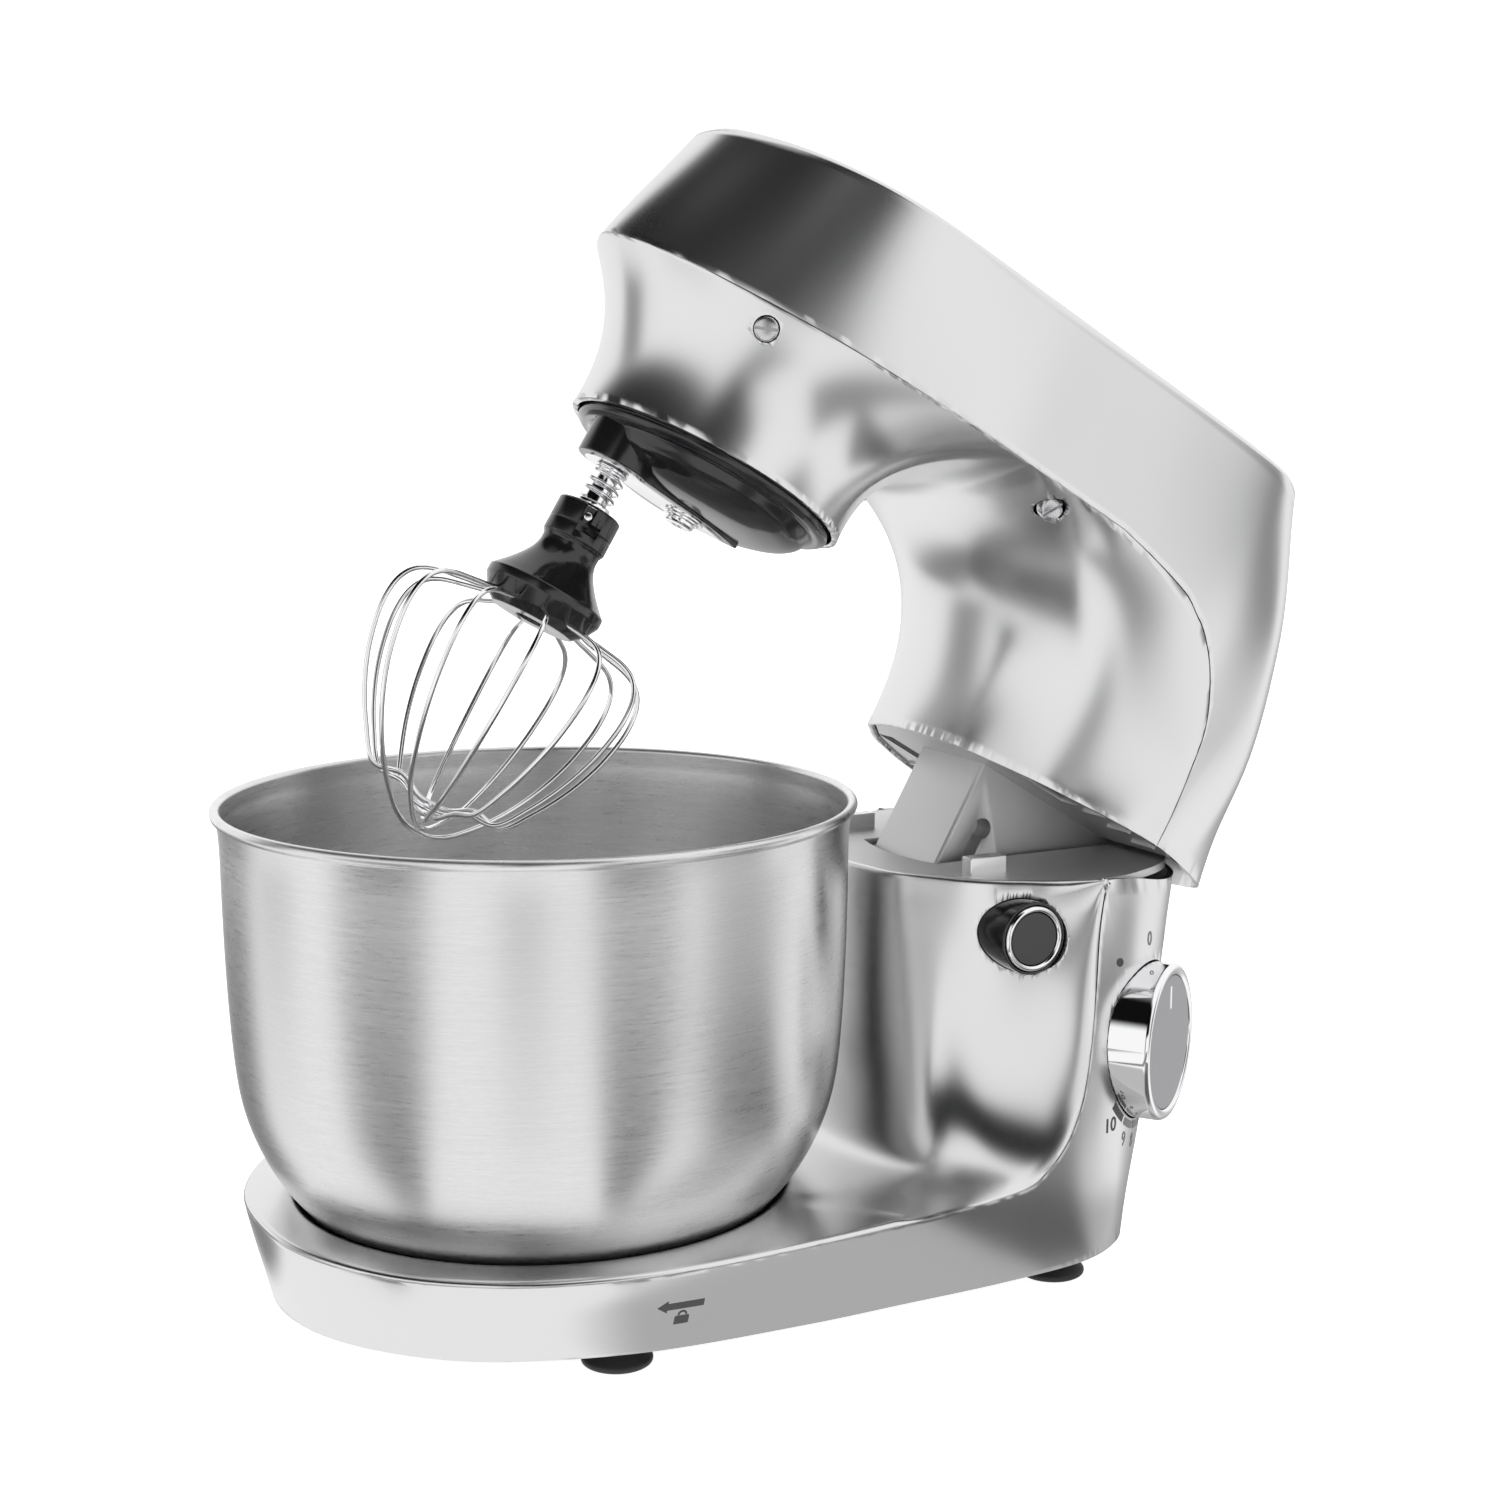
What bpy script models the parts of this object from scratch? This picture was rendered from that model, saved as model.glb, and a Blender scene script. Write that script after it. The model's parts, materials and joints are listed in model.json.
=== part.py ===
"""A tilt-head stand mixer with a steel bowl and a wire whisk, as separate named parts.

Metres, +Z up, standing on the floor, nose towards -X. The head is open at rest. The head's parts are
modelled level, as when the head is shut, below an empty on the hinge that holds the opening angle.
"""

import math

import bmesh
import bpy
import numpy as np
from mathutils import Matrix, Vector

GAP = 0.0003
BOWL_X = -0.0925

# Pedestal and column
BASE_Z = 0.010
PARTING_Z = 0.043
DECK_Z = 0.045
COLUMN_TOP_Z = 0.1558
SHELL_WALL = 0.0022
BODY_CENTRE_X = 0.070
RECESS_RIM = 0.095
RECESS_FLOOR_R = 0.0775
RECESS_FLOOR_Z = 0.0191
FOOT_SPOTS = ((-0.005, 0.079), (-0.005, -0.079), (0.181, 0.080), (0.181, -0.080))

# Head, hinge and arm
HINGE_X = 0.2335
HINGE_Z = 0.1287
CROWN_Z = 0.310
OPEN_ANGLE = math.radians(31.4)
MOUTH_Z = 0.1983
MOUTH_R = 0.0565
NECK_Z = 0.1563
ARM_HALF = 0.0234
NECK_PLATE_END = 0.226
LOCK_RADIUS = 0.0633
LOCK_ANGLE = math.radians(5.6)

# Planetary drive
PLANET_TEETH = 9
RING_TEETH = 45
PLANET_X = -0.0355
PLANET_Y = -0.0035
WHEEL_TEETH = 24
WHEEL_R = 0.018
WORM_R = 0.0052
WHEEL_Z = 0.266

# Bowl
BOWL_WALL = 0.0009

# Button and dial
BUTTON_SPOT = (0.1705, -0.0785, 0.1349)
DIAL_NORMAL = Vector((0.588, -0.809, 0.0)).normalized()
DIAL_ALONG = 0.136
DIAL_FACE_OUT = 0.2060
DIAL_Z = 0.088
DIAL_R = 0.031

# Whisk, measured down its shaft from the mouth
WIRE_R = 0.00098
WIRE_LOOPS = 6


def mm(*points):
    """Points in millimetres as points in metres."""
    return [tuple(value * 0.001 for value in point) for point in points]


# Half outlines in plan, nose first, x and half width
SKIRT_BOTTOM = mm(
    (-104, 0), (-98, 31), (-79, 59), (-51, 82), (-2, 99), (57, 103), (100, 102.5), (144, 102), (184, 98),
    (208, 86), (221, 70), (232, 47), (238, 24), (240, 0),
)
SKIRT_PARTING = mm(
    (-111, 0), (-84, 75), (-56, 97), (-24, 109), (11, 114), (51, 112.5), (94, 109), (133, 102.5),
    (160, 101), (184, 97), (207, 88.5), (228, 70), (239, 48), (246, 24), (248, 0),
)
SKIRT_WAIST = mm((150, 98), (184, 94.5), (200, 91.5), (218, 83.5), (235.5, 70), (246, 50), (253, 25), (255.5, 0))
SKIRT_TOP = mm((170, 84), (201, 84.8), (214, 83.5), (231, 76.5), (243, 69), (252, 58), (260, 36), (263, 0))
COLUMN_TOP = mm(
    (128.5, 0), (131, 20), (135, 35), (144, 47), (157, 62), (170, 71), (180, 77), (192, 82), (201.5, 84.8),
)
NECK_END = mm(
    (128.5, 0), (131, 20), (135, 35), (144, 47), (157, 62), (170, 71), (180, 77), (192, 82), (205.5, 84.5),
)
COVER_CROWN = mm(
    (-64, 0), (-61, 18), (-47, 42), (-27, 60), (0, 71), (53, 76), (94, 79), (137, 82), (172, 83),
    (187, 80), (198, 71), (204, 54), (206, 30), (207, 0),
)
COVER_PARTING = mm(
    (-81, 0), (-74, 20), (-59, 38), (-42, 50), (-25, 59), (-1, 68), (30, 75), (60, 80), (94, 82),
    (137, 84), (172, 85), (195, 85.5), (212, 83), (222, 76), (229, 62), (233, 38), (234, 0),
)
COVER_WAIST = mm((190, 85), (203, 85), (218, 83.5), (230, 79), (238, 71.5), (245, 58), (249, 35), (251, 0))
COVER_FOOT = mm((190, 84), (205.5, 84.5), (216, 81), (230, 74.5), (247, 64), (258, 53), (265, 30), (267, 0))

# Side views of the two parting lines, x and z
BASE_RISE = mm(
    (136, 43), (156, 45), (165, 49.5), (172, 55), (178, 62), (184, 74), (188, 90), (191, 104),
    (194, 120), (197, 138), (201, 155.8),
)
HEAD_RISE = mm(
    (126, 251.5), (138, 250), (150, 248), (164, 245), (172, 241), (180, 236), (190, 225), (200, 207),
    (203.5, 188), (205.2, 170), (205.5, 156.3),
)

BOWL_OUTSIDE = mm(
    (117.6, 187.6), (116.6, 180), (116.5, 165), (116, 134), (114.5, 105), (112.8, 88), (110.5, 77),
    (105.3, 63), (98.5, 52), (95, 47.5), (91, 43.3), (86, 38.6), (80, 34), (72, 29.3), (62, 25.5), (50, 23.6),
)


def clear_scene():
    for obj in list(bpy.data.objects):
        bpy.data.objects.remove(obj, do_unlink=True)


def collection(name):
    made = bpy.data.collections.new(name)
    bpy.context.scene.collection.children.link(made)
    return made


def material(name, colour, metallic, roughness):
    made = bpy.data.materials.new(name)
    made.use_nodes = True
    shader = made.node_tree.nodes["Principled BSDF"]
    shader.inputs["Base Color"].default_value = (*colour, 1.0)
    shader.inputs["Metallic"].default_value = metallic
    shader.inputs["Roughness"].default_value = roughness
    made.diffuse_color = (*colour, 1.0)
    return made


def empty(name, parent=None, location=(0, 0, 0), rotation=(0, 0, 0)):
    made = bpy.data.objects.new(name, None)
    made.location = location
    made.rotation_euler = rotation
    made.parent = parent
    made.empty_display_size = 0.02
    PARTS.objects.link(made)
    return made


def place(name, data, finish, parent, location=(0, 0, 0), rotation=(0, 0, 0)):
    made = bpy.data.objects.new(name, data)
    if finish:
        data.materials.append(finish)
    made.location = location
    made.rotation_euler = rotation
    made.parent = parent
    PARTS.objects.link(made)
    return made


def mesh_of(name, points, faces):
    data = bpy.data.meshes.new(name)
    data.from_pydata([tuple(point) for point in points], [], faces)
    data.update()
    return data


def smooth(obj, angle=35):
    obj.data.shade_smooth()
    obj.data.set_sharp_from_angle(angle=math.radians(angle))


def turned(name, profile, finish, parent, steps=32, location=(0, 0, 0), rotation=(0, 0, 0)):
    """A profile of (radius, height) points, down its outer side, turned about its own Z axis."""
    count = len(profile)
    on_axis = profile[0][0] == 0 and profile[-1][0] == 0
    edges = [(i, i + 1) for i in range(count - 1)]
    if not on_axis:
        edges.append((count - 1, 0))
    data = bpy.data.meshes.new(name)
    data.from_pydata([(radius, 0, height) for radius, height in profile], edges, [])
    made = place(name, data, finish, parent, location, rotation)
    screw = made.modifiers.new("Turn", "SCREW")
    screw.steps = steps
    screw.render_steps = steps
    screw.use_merge_vertices = True
    screw.merge_threshold = 0.00001
    screw.use_smooth_shade = True
    return made


def drum(name, radius, low, high, finish, parent, steps=32, location=(0, 0, 0), rotation=(0, 0, 0)):
    profile = [(0, high), (radius, high), (radius, low), (0, low)]
    return turned(name, profile, finish, parent, steps, location, rotation)


def collar(name, inner, outer, low, high, finish, parent, steps=32, location=(0, 0, 0), rotation=(0, 0, 0)):
    profile = [(inner, high), (outer, high), (outer, low), (inner, low)]
    return turned(name, profile, finish, parent, steps, location, rotation)


def block(name, low, high, finish, parent, location=(0, 0, 0), rotation=(0, 0, 0)):
    """A box between two corners."""
    low = Vector(low)
    high = Vector(high)
    form = bmesh.new()
    bmesh.ops.create_cube(form, size=1)
    bmesh.ops.scale(form, vec=high - low, verts=form.verts)
    bmesh.ops.translate(form, vec=(high + low) / 2, verts=form.verts)
    data = bpy.data.meshes.new(name)
    form.to_mesh(data)
    form.free()
    return place(name, data, finish, parent, location, rotation)


def plate(name, outlines, low, high, finish, parent, location=(0, 0, 0), rotation=(0, 0, 0)):
    """A flat piece from closed outlines, the first one its edge and the rest its holes."""
    data = bpy.data.curves.new(name, "CURVE")
    data.dimensions = "2D"
    data.fill_mode = "BOTH"
    data.extrude = (high - low) / 2
    for outline in outlines:
        spline = data.splines.new("POLY")
        spline.points.add(len(outline) - 1)
        for point, (x, y) in zip(spline.points, outline):
            point.co = (x, y, 0, 1)
        spline.use_cyclic_u = True
    turn = Matrix.Rotation(rotation[0], 4, "X") if rotation[0] else Matrix.Identity(4)
    shift = turn @ Vector((0, 0, (high + low) / 2))
    return place(name, data, finish, parent, Vector(location) + shift, rotation)


def circle(radius, count=24, x=0.0, y=0.0):
    angles = [2 * math.pi * i / count for i in range(count)]
    return [(x + radius * math.cos(a), y + radius * math.sin(a)) for a in angles]


def rectangle(low_x, high_x, low_y, high_y):
    return [(low_x, low_y), (high_x, low_y), (high_x, high_y), (low_x, high_y)]


def wire(name, points, radius, finish, parent, closed=False, resolution=2):
    data = bpy.data.curves.new(name, "CURVE")
    data.dimensions = "3D"
    data.bevel_depth = radius
    data.bevel_resolution = resolution
    data.use_fill_caps = True
    spline = data.splines.new("POLY")
    spline.points.add(len(points) - 1)
    for spot, point in zip(spline.points, points):
        spot.co = (*point, 1)
    spline.use_cyclic_u = closed
    return place(name, data, finish, parent)


def as_mesh(obj):
    """The object again as a welded mesh, so that it can be cut."""
    bpy.context.view_layer.update()
    graph = bpy.context.evaluated_depsgraph_get()
    data = bpy.data.meshes.new_from_object(obj.evaluated_get(graph), depsgraph=graph)
    form = bmesh.new()
    form.from_mesh(data)
    bmesh.ops.remove_doubles(form, verts=form.verts, dist=0.000002)
    bmesh.ops.recalc_face_normals(form, faces=form.faces)
    form.to_mesh(data)
    form.free()
    name = obj.name
    finish = obj.data.materials[0] if obj.data.materials else None
    obj.name = name + "_source"
    made = place(name, data, None, obj.parent, obj.location, obj.rotation_euler)
    if finish and not data.materials:
        data.materials.append(finish)
    bpy.data.objects.remove(obj)
    return made


def to_cutters(obj):
    PARTS.objects.unlink(obj)
    CUTTERS.objects.link(obj)
    obj.hide_render = True
    obj.display_type = "WIRE"
    return obj


def boolean(obj, other, operation="DIFFERENCE", solver="EXACT"):
    to_cutters(other)
    step = obj.modifiers.new(other.name, "BOOLEAN")
    step.solver = solver
    step.operation = operation
    step.object = other


def spline_points(points, each=8):
    """A smooth curve through the points, with the ends' tangents taken from their neighbours."""
    points = np.array(points, float)
    first = 2 * points[0] - points[1]
    last = 2 * points[-1] - points[-2]
    return catmull(np.vstack([first, points, last]), each)


def half_outline(points, each=8):
    """A smooth half outline whose ends on the centre line are square to it."""
    points = np.array(points, float)
    flip = np.array([1, -1])
    first = points[1] * flip if points[0][1] == 0 else 2 * points[0] - points[1]
    last = points[-2] * flip if points[-1][1] == 0 else 2 * points[-1] - points[-2]
    return catmull(np.vstack([first, points, last]), each)


def catmull(points, each):
    steps = np.linspace(0, 1, each, endpoint=False)[:, None]
    out = []
    for a, b, c, d in zip(points, points[1:], points[2:], points[3:]):
        curve = 2 * b + (c - a) * steps + (2 * a - 5 * b + 4 * c - d) * steps**2
        out.append((curve + (3 * b - a - 3 * c + d) * steps**3) / 2)
    return np.vstack([*out, points[-2][None]])


def evenly(points, count):
    """The curve again with this many points evenly along it."""
    points = np.asarray(points)
    steps = np.linalg.norm(np.diff(points, axis=0), axis=1)
    along = np.concatenate([[0], np.cumsum(steps)])
    wanted = np.linspace(0, along[-1], count)
    return np.stack([np.interp(wanted, along, column) for column in points.T], axis=-1)


def bezier(a, b, c, d, count):
    t = np.linspace(0, 1, count)[:, None]
    return a * (1 - t) ** 3 + 3 * b * t * (1 - t) ** 2 + 3 * c * t**2 * (1 - t) + d * t**3


class Wall:
    """A body's outer wall as stacked half outlines, read as a radius at an angle from the nose."""

    def __init__(self, *levels):
        self.heights = [height for height, _ in levels]
        self.curves = [self.polar(half_outline(points)) for _, points in levels]

    @staticmethod
    def polar(points):
        across = BODY_CENTRE_X - points[:, 0]
        return np.arctan2(points[:, 1], across), np.hypot(points[:, 1], across)

    def radius(self, angle, height):
        values = [np.interp(angle, *curve) for curve in self.curves]
        return np.interp(height, self.heights, values)

    def point(self, angle, height):
        radius = self.radius(angle, height)
        return np.array([BODY_CENTRE_X - radius * math.cos(angle), radius * math.sin(angle), height])

    def angle_at(self, x, height):
        angles = np.linspace(0, math.pi, 721)
        spots = [self.point(angle, height)[0] for angle in angles]
        return float(np.interp(x, spots, angles))

    def angles_between(self, start, end, height, count):
        """Angles whose points lie evenly along the outline at one height."""
        angles = np.linspace(start, end, 200)
        line = evenly([(*self.point(angle, height), angle) for angle in angles], count)
        return line[:, 3]


BASE_WALL = Wall((BASE_Z, SKIRT_BOTTOM), (PARTING_Z, SKIRT_PARTING), (0.090, SKIRT_WAIST), (0.150, SKIRT_TOP))
HEAD_WALL = Wall((NECK_Z, COVER_FOOT), (0.204, COVER_WAIST), (0.252, COVER_PARTING), (CROWN_Z, COVER_CROWN))


def inwards(ring, distance):
    """A half ring moved towards the inside, level, by this distance."""
    ring = np.asarray(ring, float)
    along = np.gradient(ring[:, :2], axis=0)
    if abs(ring[0][1]) < 1e-9:
        along[0] = (0, 1)
    if abs(ring[-1][1]) < 1e-9:
        along[-1] = (0, -1)
    along /= np.linalg.norm(along, axis=1)[:, None]
    moved = ring.copy()
    moved[:, 0] += along[:, 1] * distance
    moved[:, 1] -= along[:, 0] * distance
    return moved


class Surface:
    """Quads gathered from strips of half curves, mirrored across the centre plane."""

    def __init__(self):
        self.points = []
        self.faces = []

    def strip(self, rows, outward_last=False):
        """Rows are half curves of equal length, and each pair of neighbours makes quads."""
        for side in (1, -1):
            start = len(self.points)
            width = len(rows[0])
            for row in rows:
                self.points.extend((x, y * side, z) for x, y, z in row)
            for i in range(len(rows) - 1):
                for j in range(width - 1):
                    low = start + i * width + j
                    quad = (low, low + 1, low + width + 1, low + width)
                    flipped = (side > 0) == outward_last
                    self.faces.append(quad[::-1] if flipped else quad)

    def cap(self, row, upwards):
        """One flat face inside a mirrored half ring."""
        start = len(self.points)
        other = [(x, -y, z) for x, y, z in row[-2:0:-1]]
        self.points.extend([*map(tuple, row), *other])
        order = list(range(start, len(self.points)))
        self.faces.append(order[::-1] if upwards else order)

    def build(self, name, finish, parent, inside, seam=None):
        """The welded surface, its faces turned away from a point inside, made a shell if it has a seam.

        The seam is the half ring where the shell meets its neighbour: there the wall's edge is level.
        """
        form = bmesh.new()
        data = mesh_of(name, self.points, self.faces)
        form.from_mesh(data)
        bmesh.ops.remove_doubles(form, verts=form.verts, dist=0.00002)
        bmesh.ops.dissolve_degenerate(form, dist=0.000002, edges=form.edges)
        bmesh.ops.recalc_face_normals(form, faces=form.faces)
        inside = Vector(inside)
        outwards = sum(f.normal.dot(f.calc_center_median() - inside) * f.calc_area() for f in form.faces)
        if outwards < 0:
            bmesh.ops.reverse_faces(form, faces=form.faces)
        if seam is not None:
            thicken(form, seam)
        form.to_mesh(data)
        form.free()
        return place(name, data, finish, parent)


def thicken(form, seam):
    """Adds the inner side of a shell, its wall's thickness below the surface, and closes the edges."""
    form.normal_update()
    ends = np.vstack([seam, seam * (1, -1, 1)])
    inner = inwards(seam, SHELL_WALL)
    level = np.vstack([inner, inner * (1, -1, 1)])
    rims = [edge for edge in form.edges if edge.is_boundary]
    outer_faces = list(form.faces)
    twins = {}
    for vert in list(form.verts):
        far = np.linalg.norm(ends - np.array(vert.co), axis=1)
        nearest = int(np.argmin(far))
        spot = Vector(level[nearest]) if far[nearest] < 0.00003 else vert.co - vert.normal * SHELL_WALL
        if abs(vert.co.y) < 1e-7:
            spot.y = 0
        twins[vert] = form.verts.new(spot)
    for face in outer_faces:
        form.faces.new([twins[vert] for vert in reversed(face.verts)])
    for edge in rims:
        loop = edge.link_loops[0]
        start, end = loop.vert, loop.link_loop_next.vert
        form.faces.new((end, start, twins[start], twins[end]))


def rise_stations(wall, rise, count):
    """Angle and height of each point along a rising parting line."""
    line = evenly(spline_points(rise), count)
    return [(wall.angle_at(x, z), z) for x, z in line]


def base_stations():
    """(angle, top height) around half of the skirt's top edge, and where the rise starts and ends."""
    start = BASE_WALL.angle_at(BASE_RISE[0][0], PARTING_Z)
    front = [(a, PARTING_Z) for a in BASE_WALL.angles_between(0, start, PARTING_Z, 15)]
    rise = rise_stations(BASE_WALL, BASE_RISE, 10)
    rear_angles = BASE_WALL.angles_between(rise[-1][0], math.pi, 0.150, 9)
    drop = np.clip(np.linspace(0, 3, 9), 0, 1)
    rear = [(a, COLUMN_TOP_Z - 0.0058 * d) for a, d in zip(rear_angles, drop)]
    return front, rise[1:], rear[1:]


def make_base_skirt(root):
    front, rise, rear = base_stations()
    stations = front + rise + rear
    rows = []
    for share in (0, 0.24, 0.6, 1):
        rows.append([BASE_WALL.point(a, BASE_Z + share * (top - BASE_Z)) for a, top in stations])
    inner = [inwards(row, SHELL_WALL) for row in rows[::-1]]
    surface = Surface()
    surface.strip([*rows, *inner, rows[0]])
    skirt = surface.build("base_skirt", SILVER, root, (0.070, 0, 0.030))
    smooth(skirt)
    dial_hole = drum("cut_dial", DIAL_R + 0.0006, -0.030, 0.012, None, DIAL, 40)
    boolean(skirt, dial_hole)
    cord_hole = drum("cut_cord", 0.0063, -0.02, 0.02, None, root, 16, (0.245, 0, 0.030), (0, math.pi / 2, 0))
    boolean(skirt, cord_hole)
    return skirt


def split_at(curve, x):
    """Index of the station of this half curve that lies nearest this x."""
    return int(np.argmin(np.abs(np.asarray(curve)[:, 0] - x)))


def make_base_top(root):
    front, rise, _ = base_stations()
    lower = np.array([BASE_WALL.point(a, z) for a, z in front + rise])
    lean = np.zeros(len(lower))
    slope = np.gradient(lower[:, 2]) / np.linalg.norm(np.gradient(lower, axis=0), axis=1)
    lean[len(front) - 1 :] = np.clip(slope[len(front) - 1 :], 0, 1)
    lower[:, 2] += 1.5 * GAP
    lower[len(front) :, 0] -= 2 * GAP
    upper = inwards(lower, 0.0019)
    blend = lean[:, None] ** 3
    ahead = lower + np.array([-0.0015, 0, 0]) * blend
    upper[:, 2] = DECK_Z * (1 - lean) + lower[:, 2] * lean
    upper[:, 2] = np.maximum(upper[:, 2], lower[:, 2] + 0.0012 * (1 - lean))
    edge = upper * (1 - blend) + ahead * blend
    edge[: len(front) - 3, 2] = DECK_Z
    split = split_at(edge[: len(front)], 0.108)
    valley = valley_curve(edge[split], (0.1085, 0, DECK_Z), DECK_Z, 7)
    surface = Surface()
    surface.strip([lower, edge])
    ring = np.vstack([edge[: split + 1], valley[1:]])
    surface.strip([ring, *recess_rows(ring)])
    foot = np.vstack([valley[::-1], edge[split + 1 :]])
    top = matched_outline(COLUMN_TOP, len(valley), len(foot), 0.144, COLUMN_TOP_Z)
    top[-1] = foot[-1]
    surface.strip(column_rows(top, foot, len(valley), lean[split:]), outward_last=True)
    base_top = surface.build("base_top", SILVER, root, (0.160, 0, 0), lower)
    smooth(base_top)
    x, _, z = BUTTON_SPOT
    hole = drum("cut_button", 0.0145, -0.03, 0.03, None, root, 24, (x, -0.075, z), (math.pi / 2, 0, 0))
    boolean(base_top, hole)
    return base_top


def valley_curve(start, end, low, count):
    """A line across half of the deck, from an edge point to the centre plane, sagging as a parabola."""
    start = np.asarray(start, float)
    share = np.linspace(0, 1, count)[:, None]
    curve = start * (1 - share) + np.asarray(end, float) * share
    curve[:, 2] = low + (start[2] - low) * (1 - share[:, 0]) ** 2
    return curve


def recess_rows(ring):
    """The deck in to the round recess, down its cone and across its floor."""
    angles = np.arctan2(ring[:, 1], -ring[:, 0])
    rows = []
    for radius, height in (
        (RECESS_RIM, DECK_Z),
        (RECESS_RIM - 0.0012, DECK_Z - 0.0008),
        (RECESS_FLOOR_R, RECESS_FLOOR_Z),
        (0.030, RECESS_FLOOR_Z),
        (0.0, RECESS_FLOOR_Z),
    ):
        rows.append(np.stack([-radius * np.cos(angles), radius * np.sin(angles), 0 * angles + height], -1))
    return rows


def matched_outline(outline, count, total, corner_x, height):
    """The end outline of a column or neck, with a station for each one at its wide end."""
    line = half_outline(outline, 10)
    corner = split_at(line, corner_x)
    front = evenly(line[: corner + 1], count)
    side = evenly(line[corner:], total - count + 1)
    flat = np.vstack([front, side[1:]])
    return np.column_stack([flat, np.full(len(flat), height)])


def column_rows(top, foot, front_count, lean):
    """Rows from the deck up to the column's top edge, each station sweeping out at its foot."""
    curves = []
    for i, (end, start) in enumerate(zip(top, foot)):
        height = end[2] - start[2]
        level = (end - start) * (1, 1, 0)
        reach = np.linalg.norm(level)
        level = level / max(reach, 1e-9)
        side = max(0, i - front_count + 1)
        tilt = lean[side] if side else 0.0
        leave = level * (1 - tilt) + np.array([0, 0, 1.0]) * tilt
        hold = 0.10 + 0.22 * min(1, i / front_count)
        low = start + leave * (0.62 * reach * (1 - tilt) + 0.35 * height * tilt)
        high = end - np.array([0, 0, height * (1 - hold)])
        curves.append(bezier(start, low, high, end, 7))
    return list(np.array(curves).transpose(1, 0, 2))


def head_stations():
    start = HEAD_WALL.angle_at(HEAD_RISE[0][0], 0.2515)
    angles = HEAD_WALL.angles_between(0, start, 0.252, 18)
    nose = np.clip(1 - np.linspace(0, 4, 18), 0, 1)
    front = [(a, 0.2517 + 0.0023 * n) for a, n in zip(angles, nose)]
    rise = rise_stations(HEAD_WALL, HEAD_RISE, 10)
    rear_angles = HEAD_WALL.angles_between(rise[-1][0], math.pi, NECK_Z, 9)
    rear = [(a, NECK_Z) for a in rear_angles]
    return front, rise[1:], rear[1:]


def relaxed(angles):
    """The angles spread out more evenly between the same ends."""
    spread = np.array(angles, float)
    for _ in range(30):
        spread[1:-1] = (spread[:-2] + spread[2:]) / 2
    return spread


def make_head_cover(parent):
    front, rise, rear = head_stations()
    angles, heights = np.array(front + rise + rear).T
    crown_angles = relaxed(angles)
    rows = []
    for share in (0, 0.3, 0.65, 1):
        turned_angles = angles + (crown_angles - angles) * share
        levels = heights + share * (CROWN_Z - 0.0025 - heights)
        rows.append([HEAD_WALL.point(a, z) for a, z in zip(turned_angles, levels)])
    edge = np.array([HEAD_WALL.point(a, CROWN_Z) for a in crown_angles])
    round_one = inwards(edge, 0.0008) - (0, 0, 0.0008)
    flat = inwards(edge, 0.0028)
    surface = Surface()
    surface.strip([*rows, round_one, flat])
    surface.cap(flat, upwards=True)
    cover = surface.build("head_cover", SILVER, parent, (0.080, 0, 0.250), np.array(rows[0]))
    smooth(cover)
    return cover


def make_head_housing(parent):
    front, rise, _ = head_stations()
    edge = np.array([HEAD_WALL.point(a, z) for a, z in front + rise])
    slope = -np.gradient(edge[:, 2]) / np.linalg.norm(np.gradient(edge, axis=0), axis=1)
    lean = np.zeros(len(edge))
    lean[len(front) - 1 :] = np.clip(slope[len(front) - 1 :], 0, 1)
    edge[:, 2] -= GAP
    edge[len(front) :, 0] -= GAP
    split = split_at(edge[: len(front)], 0.078)
    valley = valley_curve(edge[split], (0.079, 0, 0.235), 0.235, 7)
    surface = Surface()
    ring = np.vstack([edge[: split + 1], valley[1:]])
    surface.strip(boss_rows(ring, split), outward_last=True)
    foot = np.vstack([valley[::-1], edge[split + 1 :]])
    end = matched_outline(NECK_END, len(valley), len(foot), 0.137, NECK_Z)
    end[-1] = foot[-1]
    surface.strip(neck_rows(end, foot, len(valley), lean[split:]))
    housing = surface.build("head_housing", SILVER, parent, (0.080, 0, 0.250), edge)
    smooth(housing)
    return housing


def boss_rows(ring, split):
    """Rows from the hub's mouth up its round wall, flaring out to the head's edge."""
    angles = np.arctan2(ring[:, 1], -ring[:, 0])
    curves = []
    for i, (outer, angle) in enumerate(zip(ring, angles)):
        ray = np.array([-math.cos(angle), math.sin(angle), 0])
        mouth = ray * MOUTH_R + (0, 0, MOUTH_Z)
        wall = ray * (MOUTH_R - 0.0025) + (0, 0, MOUTH_Z + 0.030)
        reach = np.linalg.norm(outer[:2]) - MOUTH_R
        if i <= split:
            bend = outer - ray * 0.45 * reach - np.array([0, 0, 0.010])
        else:
            bend = outer - ray * 0.55 * reach
        curves.append(bezier(mouth, wall, bend, outer, 7))
    return list(np.array(curves).transpose(1, 0, 2))


def neck_rows(end, foot, front_count, lean):
    """Rows from the neck's lower edge up to the head's edge and the throat's roof."""
    curves = []
    for i, (low, high) in enumerate(zip(end, foot)):
        height = high[2] - low[2]
        level = (low - high) * (1, 1, 0)
        reach = np.linalg.norm(level)
        level = level / max(reach, 1e-9)
        side = max(0, i - front_count + 1)
        fall = min(1, side / 4)
        tilt = lean[side] if side else 0.0
        roof = level * 0.53 * reach - np.array([0, 0, 0.002])
        wall = np.array([0, 0, -0.42 * height]) + level * 0.06 * reach
        leave = roof * (1 - fall) + wall * fall
        grip = 0.62 * (1 - fall) + 0.35 * fall
        rise = low + np.array([-0.02 * reach * (1 - tilt), 0, height * grip])
        curves.append(bezier(low, rise, high + leave, high, 7))
    return list(np.array(curves).transpose(1, 0, 2))


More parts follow.
